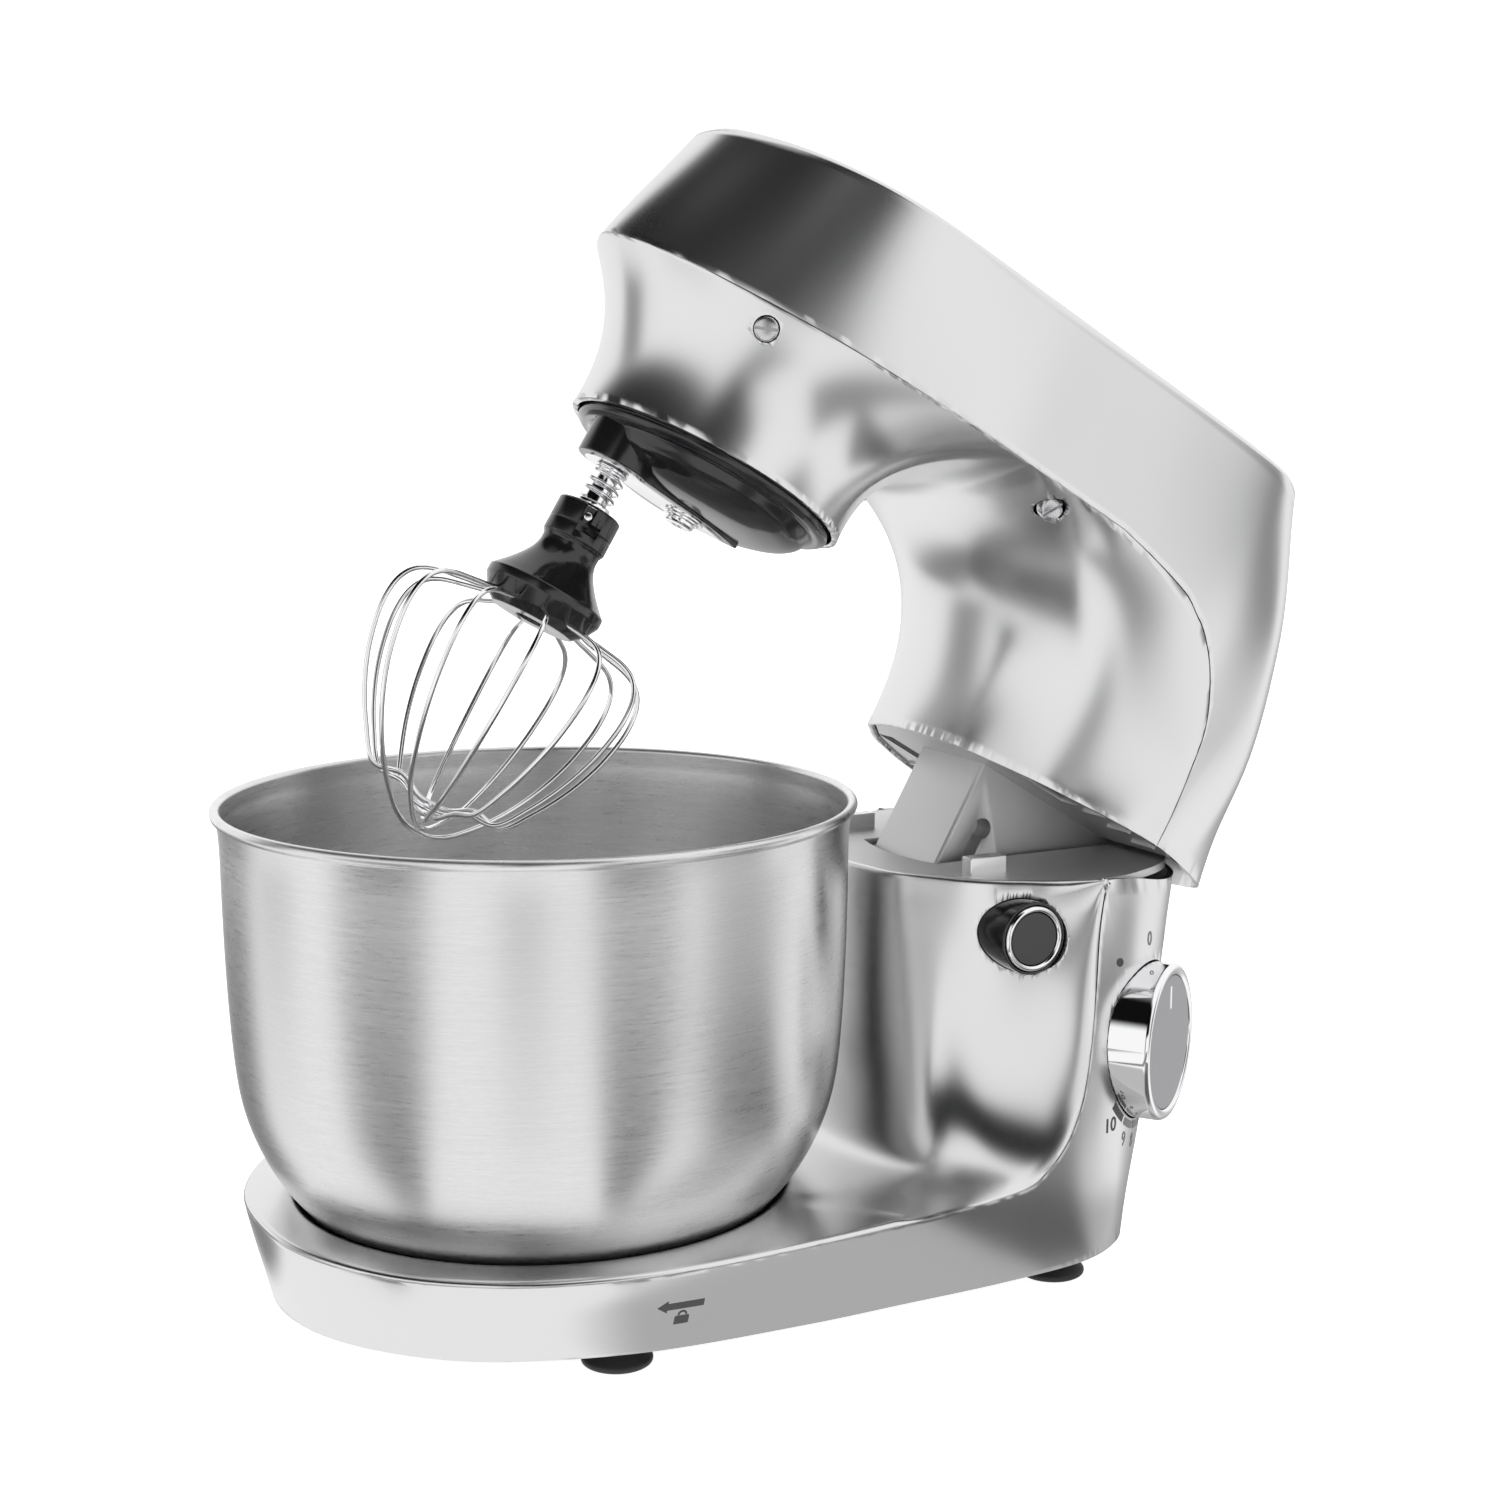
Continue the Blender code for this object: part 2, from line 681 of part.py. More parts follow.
def make_base_parts(root):
    outline = [BASE_WALL.point(a, BASE_Z) for a in BASE_WALL.angles_between(0, math.pi, BASE_Z, 24)]
    half = inwards(outline, SHELL_WALL + 0.0012)[:, :2]
    ring = [*map(tuple, half), *[(x, -y) for x, y in half[-2:0:-1]]]
    plate("base_plate", [ring], 0.0105, 0.0130, DARK, root)
    for number, (x, y) in enumerate(FOOT_SPOTS, 1):
        profile = [(0, 0.0102), (0.0085, 0.0102), (0.0095, 0.006), (0.0130, 0.003), (0.0128, 0.001), (0.0115, 0)]
        turned(f"foot_{number}", [*profile, (0, 0)], BLACK, root, 16, (x, y, 0))
    make_column_cap(root)
    low = (HINGE_X - 0.0105, 0, 0.060)
    bracket = block("hinge_bracket", (low[0], -0.0275, 0.060), (HINGE_X + 0.0105, 0.0275, 0.138), DARK, root)
    gap = block("cut_bracket", (low[0] - 0.01, -0.0240, 0.064), (HINGE_X + 0.02, 0.0240, 0.2), None, root)
    boolean(bracket, gap)
    bore = drum("cut_hinge", 0.0043, -0.04, 0.04, None, root, 20, (HINGE_X, 0, HINGE_Z), (math.pi / 2, 0, 0))
    boolean(bracket, bore)
    drum("hinge_pin", 0.0040, -0.030, 0.030, STEEL, root, 20, (HINGE_X, 0, HINGE_Z), (math.pi / 2, 0, 0))
    block("control_board", (0.139, -0.030, 0.052), (0.1405, 0.030, 0.100), GREEN, root)
    drum("speed_switch", 0.0085, -0.0420, -0.0303, DARK, DIAL, 20)
    drum("cord_gland", 0.0060, -0.012, 0.0035, BLACK, root, 20, (0.243, 0, 0.030), (0, math.pi / 2, 0))


def make_column_cap(root):
    line = half_outline(COLUMN_TOP, 4)
    rear = [BASE_WALL.point(a, 0.150)[:2] for a in BASE_WALL.angles_between(2.55, math.pi, 0.150, 9)]
    half = inwards(np.vstack([evenly(line, 14)[:-1], rear]), SHELL_WALL + 0.0015)[:, :2]
    half[0][1] = 0
    half[-1][1] = 0
    ring = [*map(tuple, half), *[(x, -y) for x, y in half[-2:0:-1]]]
    slot = [
        (0.2545, -0.028), (0.2545, 0.028), (0.1580, 0.028), (0.1550, 0.014), (0.154, 0), (0.1550, -0.014),
        (0.1580, -0.028),
    ]
    cap = as_mesh(plate("column_cap", [ring, slot], 0.1530, COLUMN_TOP_Z, SILVER, root))
    for side in (-1, 1):
        inner, outer = sorted((side * 0.047, side * 0.0535))
        lug = block("cut_lug", (0.1585, inner, 0.1550), (0.175, outer, 0.1623), None, root)
        boolean(cap, lug, "UNION")


def make_bowl(root):
    axis = empty("bowl_axis", root)
    # The rolled rim is an arc around a small bead, and the wall is 0.9 mm thick below it.
    bead = [
        (0.1180 + 0.0020 * math.cos(a), 0.1900 + 0.0020 * math.sin(a))
        for a in np.linspace(math.pi, -math.pi / 2, 6)
    ]
    outside = [*bead, *evenly(spline_points(BOWL_OUTSIDE), 11), (0, 0.0231)]
    inside = evenly(spline_points(BOWL_OUTSIDE), 9)[::-1]
    along = np.gradient(inside, axis=0)
    along /= np.linalg.norm(along, axis=1)[:, None]
    inside = inside + np.stack([-along[:, 1], along[:, 0]], -1) * BOWL_WALL
    bowl_profile = [(0, 0.0240), *[tuple(p) for p in inside[:-1]], *outside]
    turned("bowl_shell", bowl_profile, STEEL, axis, 32)
    ring = mm(
        (92.4, 43.9), (90.6, 40.6), (87.6, 36.6), (74, 19.5), (71, 19.5), (72.6, 24.2), (80.9, 32.3), (87.3, 37.9),
        (91.7, 43.1),
    )
    turned("bowl_foot_ring", ring, BLACK, axis, 28)


def make_button(root):
    x, y, z = BUTTON_SPOT
    upright = (math.pi / 2, 0, 0)
    collar("button_bezel", 0.0130, 0.0141, -0.020, 0.001, BLACK, root, 32, (x, y, z), upright)
    button = empty("button_slide", root, (x, y, z), upright)
    drum("button_cap", 0.0102, -0.008, 0.0016, BLACK, button, 32)
    collar("button_ring", 0.0105, 0.0127, -0.008, 0.0022, CHROME, button, 32)
    arm_face = -y - ARM_HALF
    profile = [
        (0, -0.0084), (0.0020, -0.0084), (0.0020, -0.028), (0.0062, -0.028), (0.0062, -0.030), (0.0020, -0.030),
        (0.0020, 0.007 - arm_face), (0.0037, 0.006 - arm_face), (0.0037, 0.002 - arm_face),
        (0.0020, 0.0015 - arm_face), (0.0020, -arm_face - 0.005), (0, -arm_face - 0.005),
    ]
    turned("lock_pin", profile, STEEL, button, 10)
    turns = 4
    coil = []
    for i in range(turns * 10 + 1):
        angle = 2 * math.pi * i / 10
        height = y + 0.0353 + 0.012 * i / (turns * 10)
        coil.append((x + 0.0048 * math.cos(angle), height, z + 0.0048 * math.sin(angle)))
    wire("lock_spring", coil, 0.0006, STEEL, root, resolution=0)


def make_dial():
    profile = [
        (0, -0.0024), (0.0266, -0.0024), (0.0266, 0), (0.0290, 0.0006), (0.0304, 0), (DIAL_R, -0.0010),
        (DIAL_R, -0.0260), (0.0290, -0.0260), (0.0290, -0.0045), (0.0044, -0.0045), (0.0044, -0.0300), (0, -0.0300),
    ]
    turned("dial_barrel", profile, CHROME, DIAL_TURN, 28)
    drum("dial_face", 0.0263, -0.0021, -0.0002, GREY, DIAL_TURN, 36)


def make_arm(parent):
    points = [
        (0.1570, 0.1576), (0.1585, 0.1060), (0.175, 0.1000), (0.205, 0.0980), (0.2335, 0.1130), (0.246, 0.1185),
        (0.2495, 0.135), (0.2450, 0.1576),
    ]
    upright = (math.pi / 2, 0, 0)
    arm = as_mesh(plate("tilt_arm", [points], -ARM_HALF, ARM_HALF, SILVER, parent, (0, 0, 0), upright))
    bore = drum("cut_arm_pin", 0.0043, -0.04, 0.04, None, parent, 20, (HINGE_X, 0, HINGE_Z), upright)
    boolean(arm, bore)
    start = math.pi - LOCK_ANGLE + OPEN_ANGLE
    angles = np.linspace(start, start - OPEN_ANGLE, 9)
    outer = [(HINGE_X + (LOCK_RADIUS + 0.0027) * math.cos(a), HINGE_Z + (LOCK_RADIUS + 0.0027) * math.sin(a)) for a in angles]
    inner = [(HINGE_X + (LOCK_RADIUS - 0.0027) * math.cos(a), HINGE_Z + (LOCK_RADIUS - 0.0027) * math.sin(a)) for a in angles]
    slot = as_mesh(plate("cut_slot", [outer + inner[::-1]], 0.014, 0.030, None, parent, (0, 0, 0), upright))
    boolean(arm, slot)
    for angle in (angles[0], angles[-1]):
        spot = (HINGE_X + LOCK_RADIUS * math.cos(angle), 0, HINGE_Z + LOCK_RADIUS * math.sin(angle))
        hole = drum("cut_lock", 0.0043, 0.0135, 0.030, None, parent, 20, spot, upright)
        boolean(arm, hole)
    return arm


def make_neck_plate(parent):
    line = evenly(half_outline(NECK_END, 6), 16)
    half = inwards(line, SHELL_WALL + 0.0026)[:, :2]
    half[0][1] = 0
    half = np.vstack([half, [(NECK_PLATE_END - 0.006, 0.0755), (NECK_PLATE_END, 0.070), (NECK_PLATE_END, 0)]])
    ring = [*map(tuple, half), *[(x, -y) for x, y in half[-2:0:-1]]]
    holes = [rectangle(0.1545, 0.184, 0.0445, 0.0560), rectangle(0.1545, 0.184, -0.0560, -0.0445)]
    neck = as_mesh(plate("neck_plate", [ring, *holes], 0.1580, 0.1602, SILVER, parent))
    for side in (-1, 1):
        for x in (0.186, 0.200, 0.214):
            inner, outer = sorted((side * 0.058, side * 0.072))
            rib = block("cut_rib", (x - 0.0008, inner, 0.1566), (x + 0.0008, outer, 0.1584), None, parent)
            boolean(neck, rib, "UNION")


def gear_outline(teeth, root, tip, phase=0.0, share=0.5):
    """Trapezoid teeth, with a tooth's middle at the phase angle. The share is its width at mid height."""
    pitch = 2 * math.pi / teeth
    outline = []
    for i in range(teeth):
        middle = phase + i * pitch
        for radius, offset in ((root, -share / 2 - 0.10), (tip, -share / 2 + 0.10), (tip, share / 2 - 0.10), (root, share / 2 + 0.10)):
            angle = middle + offset * pitch
            outline.append((radius * math.cos(angle), radius * math.sin(angle)))
    return outline


def make_drive(head):
    planet_angle = math.atan2(PLANET_Y, PLANET_X)
    distance = math.hypot(PLANET_X, PLANET_Y)
    module = 2 * distance / (RING_TEETH - PLANET_TEETH)
    ring_pitch = module * RING_TEETH / 2
    planet_pitch = module * PLANET_TEETH / 2
    space = planet_angle + math.pi / RING_TEETH
    teeth = gear_outline(RING_TEETH, ring_pitch + 1.15 * module, ring_pitch - 0.80 * module, space, 0.40)
    plate("ring_gear", [circle(0.0508, 45), teeth], 0.212, 0.217, STEEL, head)
    hub = empty("hub_axis", head, (0, 0, MOUTH_Z))
    up = MOUTH_Z
    wheel = gear_outline(WHEEL_TEETH, WHEEL_R - 0.0019, WHEEL_R + 0.0012, math.pi / 2, 0.40)
    plate("worm_wheel", [wheel, circle(0.0043, 16)], WHEEL_Z - 0.0025 - up, WHEEL_Z + 0.0025 - up, BRASS, hub)
    drum("hub_shaft", 0.0040, 0.2052 - up, 0.274 - up, STEEL, hub, 16)
    carrier = as_mesh(turned("hub_carrier", [
        (0, 0.0066), (0.0485, 0.0066), (0.0485, 0.0015), (0.0532, 0.0010), (0.0532, -0.0022), (0.0512, -0.0026),
        (0.0505, -0.0052), (0.044, -0.0100), (0.030, -0.0142), (0.012, -0.0160), (0, -0.0160),
    ], BLACK, hub, 24))
    boss = turned("cut_boss", [(0, 0.004), (0.0135, 0.004), (0.0135, -0.0165), (0.0125, -0.0180), (0, -0.0180)], None, hub, 24,
                  (PLANET_X, PLANET_Y, 0))
    boolean(carrier, boss, "UNION")
    bore = drum("cut_planet", 0.0043, -0.03, 0.03, None, hub, 16, (PLANET_X, PLANET_Y, 0))
    boolean(carrier, bore)
    collar("hub_bridge", 0.0075, 0.0140, -0.0182, -0.0163, CHROME, hub, 24)
    drum("hub_screw", 0.0070, -0.0225, -0.0165, CHROME, hub, 16)
    whisk = empty("whisk_axis", hub, (PLANET_X, PLANET_Y, 0), (0, 0, planet_angle))
    pinion = gear_outline(PLANET_TEETH, planet_pitch - 1.05 * module, planet_pitch + 0.75 * module, 0.0, 0.40)
    plate("planet_pinion", [pinion, circle(0.0043, 16)], 0.212 - up, 0.217 - up, STEEL, whisk)
    make_whisk(whisk)


def make_whisk(whisk):
    shaft = [
        (0, 0.0205), (0.0040, 0.0205), (0.0040, -0.0186), (0.0062, -0.0186), (0.0062, -0.0200), (0.0040, -0.0200),
        (0.0040, -0.0330), (0.0066, -0.0330), (0.0066, -0.0346), (0.0040, -0.0346), (0.0040, -0.0560), (0, -0.0560),
    ]
    turned("drive_shaft", shaft, CHROME, whisk, 12)
    coil = []
    turns = 3
    for i in range(turns * 12 + 1):
        angle = 2 * math.pi * i / 12
        coil.append((0.0060 * math.cos(angle), 0.0060 * math.sin(angle), -0.0213 - 0.0104 * i / (turns * 12)))
    wire("shaft_spring", coil, 0.0007, CHROME, whisk, resolution=0)
    hub = [
        (0.0044, -0.0352), (0.0112, -0.0352), (0.0124, -0.0364), (0.0124, -0.0496), (0.0112, -0.0506), (0.0114, -0.0540),
        (0.0150, -0.0610), (0.0215, -0.0690), (0.0232, -0.0705), (0.0232, -0.0735), (0.0200, -0.0790),
        (0.0162, -0.0822), (0.0060, -0.0822), (0.0060, -0.0580), (0.0044, -0.0580),
    ]
    turned("whisk_hub", hub, BLACK, whisk, 20)
    for number in range(WIRE_LOOPS):
        make_loop(whisk, number)


def make_loop(whisk, number):
    """One wire loop, down one side, under the others at its own depth, and up the other side."""
    depth = 0.1700 - 0.0023 * number
    side = [
        (0.0215, 0.0790), (0.0300, 0.0805), (0.0400, 0.0825), (0.0462, 0.0858), (0.0497, 0.0915), (0.0508, 0.0990),
        (0.0500, 0.1080), (0.0470, 0.1200), (0.0420, 0.1320), (0.0350, 0.1440), (0.0262, 0.1550),
    ]
    low = [(0.0150, depth - 0.0048), (0.0065, depth - 0.0006)]
    line = evenly(spline_points([*side, *low, (0.0, depth), (-0.0065, depth - 0.0006)]), 40)
    half = [tuple(p) for p in line if p[0] > 0.0005]
    half = [tuple(p) for p in evenly(half, 10)]
    loop = [*half, (0, depth), *[(-r, s) for r, s in half[::-1]]]
    turn = math.pi * (number + 0.25) / WIRE_LOOPS
    points = [(r * math.cos(turn), r * math.sin(turn), -s) for r, s in loop]
    wire(f"whisk_wire_{number + 1}", points, WIRE_R, CHROME, whisk, resolution=1)


def make_motor(head):
    axis_y = WHEEL_R + WORM_R
    along = (0, math.pi / 2, 0)
    motor = empty("motor_axis", head, (0, axis_y, WHEEL_Z), along)
    make_worm(motor)
    drum("rotor_shaft", 0.0026, 0.0173, 0.1780, STEEL, motor, 12)
    collar("rotor_core", 0.0029, 0.0142, 0.096, 0.140, STEEL, motor, 24)
    collar("commutator", 0.0029, 0.0085, 0.1605, 0.1700, BRASS, motor, 20)
    fan = []
    blades = 8
    for i in range(blades):
        for radius, offset in ((0.006, 0.0), (0.018, 0.16), (0.018, 0.34), (0.007, 0.30)):
            angle = 2 * math.pi * (i + offset) / blades
            fan.append((radius * math.cos(angle), radius * math.sin(angle)))
    plate("cooling_fan", [fan, circle(0.0029, 12)], 0.1490, 0.1560, DARK, motor)
    still = empty("motor_frame", head, (0, axis_y, WHEEL_Z), along)
    collar("motor_stator", 0.0147, 0.0208, 0.0893, 0.1430, DARK, still, 24)
    collar("motor_bearing", 0.0031, 0.0066, 0.0830, 0.0884, STEEL, still, 16)
    for number, side in enumerate((-1, 1), 1):
        low, high = sorted((side * 0.0089, side * 0.0210))
        block(f"brush_{number}", (low, -0.003, 0.1620), (high, 0.003, 0.1685), DARK, still)
    block("chassis_plate", (-0.030, -0.021, 0.2440), (0.0820, 0.021, 0.2470), DARK, head)
    plate_obj = bpy.data.objects["chassis_plate"]
    bore = drum("cut_bearing", 0.0093, 0.23, 0.26, None, head, 20)
    boolean(plate_obj, bore)
    collar("hub_bearing", 0.0043, 0.0090, 0.2425, 0.2485, STEEL, head, 20)


def make_worm(motor):
    """A single-start worm: its radius rises and falls with the angle around a helix."""
    lead = math.pi * 2 * WHEEL_R / WHEEL_TEETH
    around = 12
    rows = 24
    length = 4.0 * lead
    start = -length / 2
    points = []
    for i in range(rows + 1):
        height = start + length * i / rows
        for j in range(around):
            angle = 2 * math.pi * j / around
            wave = math.cos(2 * math.pi * (height / lead) + angle - math.pi / 2)
            radius = WORM_R - 0.0012 + 0.0020 * np.clip(wave * 1.6 - 0.35, -1, 1) * 0.5
            points.append((radius * math.cos(angle), radius * math.sin(angle), height))
    faces = []
    for i in range(rows):
        for j in range(around):
            low = i * around + j
            side = i * around + (j + 1) % around
            faces.append((low, side, side + around, low + around))
    faces.append(tuple(range(around))[::-1])
    faces.append(tuple(range(rows * around, (rows + 1) * around)))
    place("worm", mesh_of("worm", points, faces), STEEL, motor)


def make_side_screws(head):
    """Four round heads just below the head's parting line, each square to the wall there."""
    for number, (x, side) in enumerate(((-0.031, -1), (0.0995, -1), (-0.031, 1), (0.0995, 1)), 1):
        angle = HEAD_WALL.angle_at(x, 0.252)
        spot = HEAD_WALL.point(angle, 0.252)
        near = HEAD_WALL.point(angle + 0.02, 0.252) - HEAD_WALL.point(angle - 0.02, 0.252)
        normal = Vector((-near[1], near[0], 0)).normalized()
        facing = Vector((normal.x, normal.y * side, -0.25)).normalized()
        place_at = Vector((spot[0], spot[1] * side, 0.2425)) + facing * 0.0002
        turn = facing.to_track_quat("Z", "Y").to_euler()
        drum(f"side_screw_{number}", 0.0046, -0.004, 0.0010, STEEL, head, 20, place_at, turn)
        hole = drum("cut_screw", 0.0050, -0.012, 0.010, None, head, 20, place_at, turn)
        boolean(bpy.data.objects["head_housing"], hole, solver="MANIFOLD")


clear_scene()
PARTS = collection("Stand mixer")
CUTTERS = collection("Cutters")

SILVER = material("Satin silver paint", (0.72, 0.72, 0.72), 0.85, 0.32)
STEEL = material("Brushed steel", (0.66, 0.66, 0.66), 1.0, 0.28)
CHROME = material("Chrome", (0.86, 0.86, 0.86), 1.0, 0.06)
BLACK = material("Black gloss plastic", (0.012, 0.012, 0.012), 0.0, 0.18)
DARK = material("Dark plastic", (0.05, 0.05, 0.05), 0.0, 0.5)
GREY = material("Grey face", (0.28, 0.28, 0.29), 0.2, 0.4)
BRASS = material("Brass", (0.60, 0.42, 0.16), 1.0, 0.3)
GREEN = material("Circuit board", (0.02, 0.14, 0.05), 0.0, 0.5)

MIXER = empty("mixer", None, (BOWL_X, 0, 0))
ACROSS = Vector((-DIAL_NORMAL.y, DIAL_NORMAL.x, 0))
dial_spot = DIAL_NORMAL * DIAL_FACE_OUT + ACROSS * DIAL_ALONG + Vector((0, 0, DIAL_Z))
dial_turn = Matrix((ACROSS, (0, 0, 1), DIAL_NORMAL)).transposed().to_euler()
DIAL = empty("dial_seat", MIXER, dial_spot, dial_turn)
DIAL_TURN = empty("dial_axis", DIAL)

make_base_skirt(MIXER)
make_base_top(MIXER)
make_base_parts(MIXER)
make_bowl(MIXER)
make_button(MIXER)
make_dial()

HINGE = empty("head_hinge", MIXER, (HINGE_X, 0, HINGE_Z), (0, OPEN_ANGLE, 0))
HEAD = empty("head_frame", HINGE, (-HINGE_X, 0, -HINGE_Z))
make_head_cover(HEAD)
make_head_housing(HEAD)
make_side_screws(HEAD)
make_arm(HEAD)
make_neck_plate(HEAD)
make_drive(HEAD)
make_motor(HEAD)
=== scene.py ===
"""The looks of a tilt-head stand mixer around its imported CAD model. Metres, +Z up, nose towards -X."""

import json
import math

import bmesh
import bpy
import numpy as np
from mathutils import Matrix, Vector


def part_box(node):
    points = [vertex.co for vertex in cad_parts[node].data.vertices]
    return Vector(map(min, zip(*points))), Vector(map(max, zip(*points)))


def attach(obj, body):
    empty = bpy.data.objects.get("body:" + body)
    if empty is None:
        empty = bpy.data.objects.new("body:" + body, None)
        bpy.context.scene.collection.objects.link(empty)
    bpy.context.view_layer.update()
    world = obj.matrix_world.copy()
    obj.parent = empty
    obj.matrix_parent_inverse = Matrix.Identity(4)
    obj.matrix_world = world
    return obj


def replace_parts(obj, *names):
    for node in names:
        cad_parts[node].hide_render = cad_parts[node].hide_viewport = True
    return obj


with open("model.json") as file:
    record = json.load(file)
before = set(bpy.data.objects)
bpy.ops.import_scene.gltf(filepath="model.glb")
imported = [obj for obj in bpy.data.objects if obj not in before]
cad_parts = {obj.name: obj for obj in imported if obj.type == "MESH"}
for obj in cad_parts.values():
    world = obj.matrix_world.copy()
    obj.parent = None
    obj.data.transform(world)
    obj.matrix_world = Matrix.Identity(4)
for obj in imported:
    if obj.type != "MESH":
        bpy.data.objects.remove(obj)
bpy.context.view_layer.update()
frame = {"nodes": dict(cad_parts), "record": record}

JOINTS = {joint["name"]: joint for joint in frame["record"]["behaviour"]["joints"]}
BOWL_X = JOINTS["bowl_lock"]["pos_m"][0]
HINGE = Vector(JOINTS["head_tilt"]["pos_m"])
OPEN_ANGLE = math.radians(JOINTS["head_tilt"]["range_deg"][1])

# Driving sizes, from the bowl's axis
BASE_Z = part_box("base_skirt")[0].z
PARTING_Z = 0.043
DECK_Z = 0.045
COLUMN_TOP_Z = 0.1558
WALL = 0.0022
BODY_CENTRE_X = 0.070
RECESS_RIM = 0.095
RECESS_FLOOR_R = 0.0775
RECESS_FLOOR_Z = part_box("base_top")[0].z
MOUTH_Z = 0.1983
MOUTH_R = 0.0565
NECK_Z = 0.1563
CROWN_Z = 0.310
SEAM = 0.0004
REAR_DROP = 0.0058
WAIST_Z = 0.150
THROAT_Z = 0.235
HEAD_SEAM_Z = 0.252

BASE_PLACE = Matrix.Translation((BOWL_X, 0, 0))
HINGE_LOCAL = Vector((HINGE.x - BOWL_X, 0, HINGE.z))
HEAD_PLACE = (
    Matrix.Translation(HINGE) @ Matrix.Rotation(OPEN_ANGLE, 4, "Y") @ Matrix.Translation(-HINGE_LOCAL)
)


def mm(*points):
    """Points in millimetres as points in metres."""
    return [tuple(value * 0.001 for value in point) for point in points]


# Half outlines in plan, nose first, x and half width
SKIRT_BOTTOM = mm(
    (-104, 0), (-98, 31), (-80, 59), (-51, 82), (-2, 98), (57, 102.5), (100, 102.5), (144, 102),
    (184, 98), (208, 86), (221, 70), (232, 47), (238, 24), (240, 0),
)
SKIRT_PARTING = mm(
    (-111, 0), (-106, 37), (-86, 73), (-56, 97), (-24, 109), (11, 113.5), (51, 112.5), (94, 109),
    (133, 103.5), (160, 101), (184, 97), (207, 88.5), (228, 70), (239, 48), (246, 24), (248, 0),
)
SKIRT_WAIST = mm(
    (150, 98), (184, 94.5), (200, 91.5), (218, 83.5), (235.5, 70), (246, 50), (253, 25), (255.5, 0),
)
SKIRT_TOP = mm((170, 84), (201, 84.8), (214, 83.5), (231, 76.5), (243, 69), (252, 58), (260, 36), (263, 0))
COLUMN_TOP = mm(
    (128.5, 0), (131, 20), (135, 35), (144, 47), (157, 62), (170, 71), (180, 77), (192, 82), (201.5, 84.8),
)
NECK_END = mm(
    (128.5, 0), (131, 20), (135, 35), (144, 47), (157, 62), (170, 71), (180, 77), (192, 82), (205.5, 84.5),
)
COVER_CROWN = mm(
    (-64, 0), (-61, 18), (-47, 42), (-27, 60), (0, 71), (53, 76), (94, 79), (137, 82), (172, 83),
    (187, 80), (198, 71), (204, 54), (206, 30), (207, 0),
)
COVER_PARTING = mm(
    (-81, 0), (-74, 20), (-59, 38), (-42, 50), (-25, 59), (-1, 68), (30, 75), (60, 80), (94, 82),
    (137, 84), (172, 85), (195, 85.5), (212, 83), (222, 76), (229, 62), (233, 38), (234, 0),
)
COVER_WAIST = mm((190, 85), (203, 85), (218, 83.5), (230, 79), (238, 71.5), (245, 58), (249, 35), (251, 0))
COVER_FOOT = mm((190, 84), (205.5, 84.5), (216, 81), (230, 74.5), (247, 64), (258, 53), (265, 30), (267, 0))

# Side views of the two parting lines, x and z
BASE_RISE = mm(
    (136, 43), (156, 45), (165, 49.5), (172, 55), (178, 62), (184, 74), (188, 90), (191, 104),
    (194, 120), (197, 138), (201, 155.8),
)
HEAD_RISE = mm(
    (126, 251.5), (138, 250), (150, 248), (164, 245), (172, 241), (180, 236), (190, 225), (200, 207),
    (203.5, 188), (205.2, 170), (205.5, 156.3),
)


# Curves


def catmull(points, each):
    steps = np.linspace(0, 1, each, endpoint=False)[:, None]
    out = []
    for a, b, c, d in zip(points, points[1:], points[2:], points[3:]):
        curve = 2 * b + (c - a) * steps + (2 * a - 5 * b + 4 * c - d) * steps**2
        out.append((curve + (3 * b - a - 3 * c + d) * steps**3) / 2)
    return np.vstack([*out, points[-2][None]])


def spline_points(points, each=20):
    """A smooth curve through the points."""
    points = np.array(points, float)
    first = 2 * points[0] - points[1]
    last = 2 * points[-1] - points[-2]
    return catmull(np.vstack([first, points, last]), each)


def half_outline(points, each=20):
    """A smooth half outline whose ends on the centre line are square to it."""
    points = np.array(points, float)
    flip = np.array([1, -1])
    first = points[1] * flip if points[0][1] == 0 else 2 * points[0] - points[1]
    last = points[-2] * flip if points[-1][1] == 0 else 2 * points[-1] - points[-2]
    return catmull(np.vstack([first, points, last]), each)


def evenly(points, count):
    """The curve again with this many points evenly along it."""
    points = np.asarray(points)
    steps = np.linalg.norm(np.diff(points, axis=0), axis=1)
    along = np.concatenate([[0], np.cumsum(steps)])
    wanted = np.linspace(0, along[-1], count)
    return np.stack([np.interp(wanted, along, column) for column in points.T], axis=-1)


def bezier(a, b, c, d, count):
    t = np.linspace(0, 1, count)[:, None]
    return a * (1 - t) ** 3 + 3 * b * t * (1 - t) ** 2 + 3 * c * t**2 * (1 - t) + d * t**3


def fair(values, passes):
    """The values relaxed towards their neighbours' mean, with both ends held."""
    out = np.array(values, float)
    for _ in range(passes):
        out[1:-1] = (out[:-2] + 2 * out[1:-1] + out[2:]) / 4
    return out


def eased(share):
    """The share from 0 to 1 with a soft start and a soft end."""
    return share * share * (3 - 2 * share)


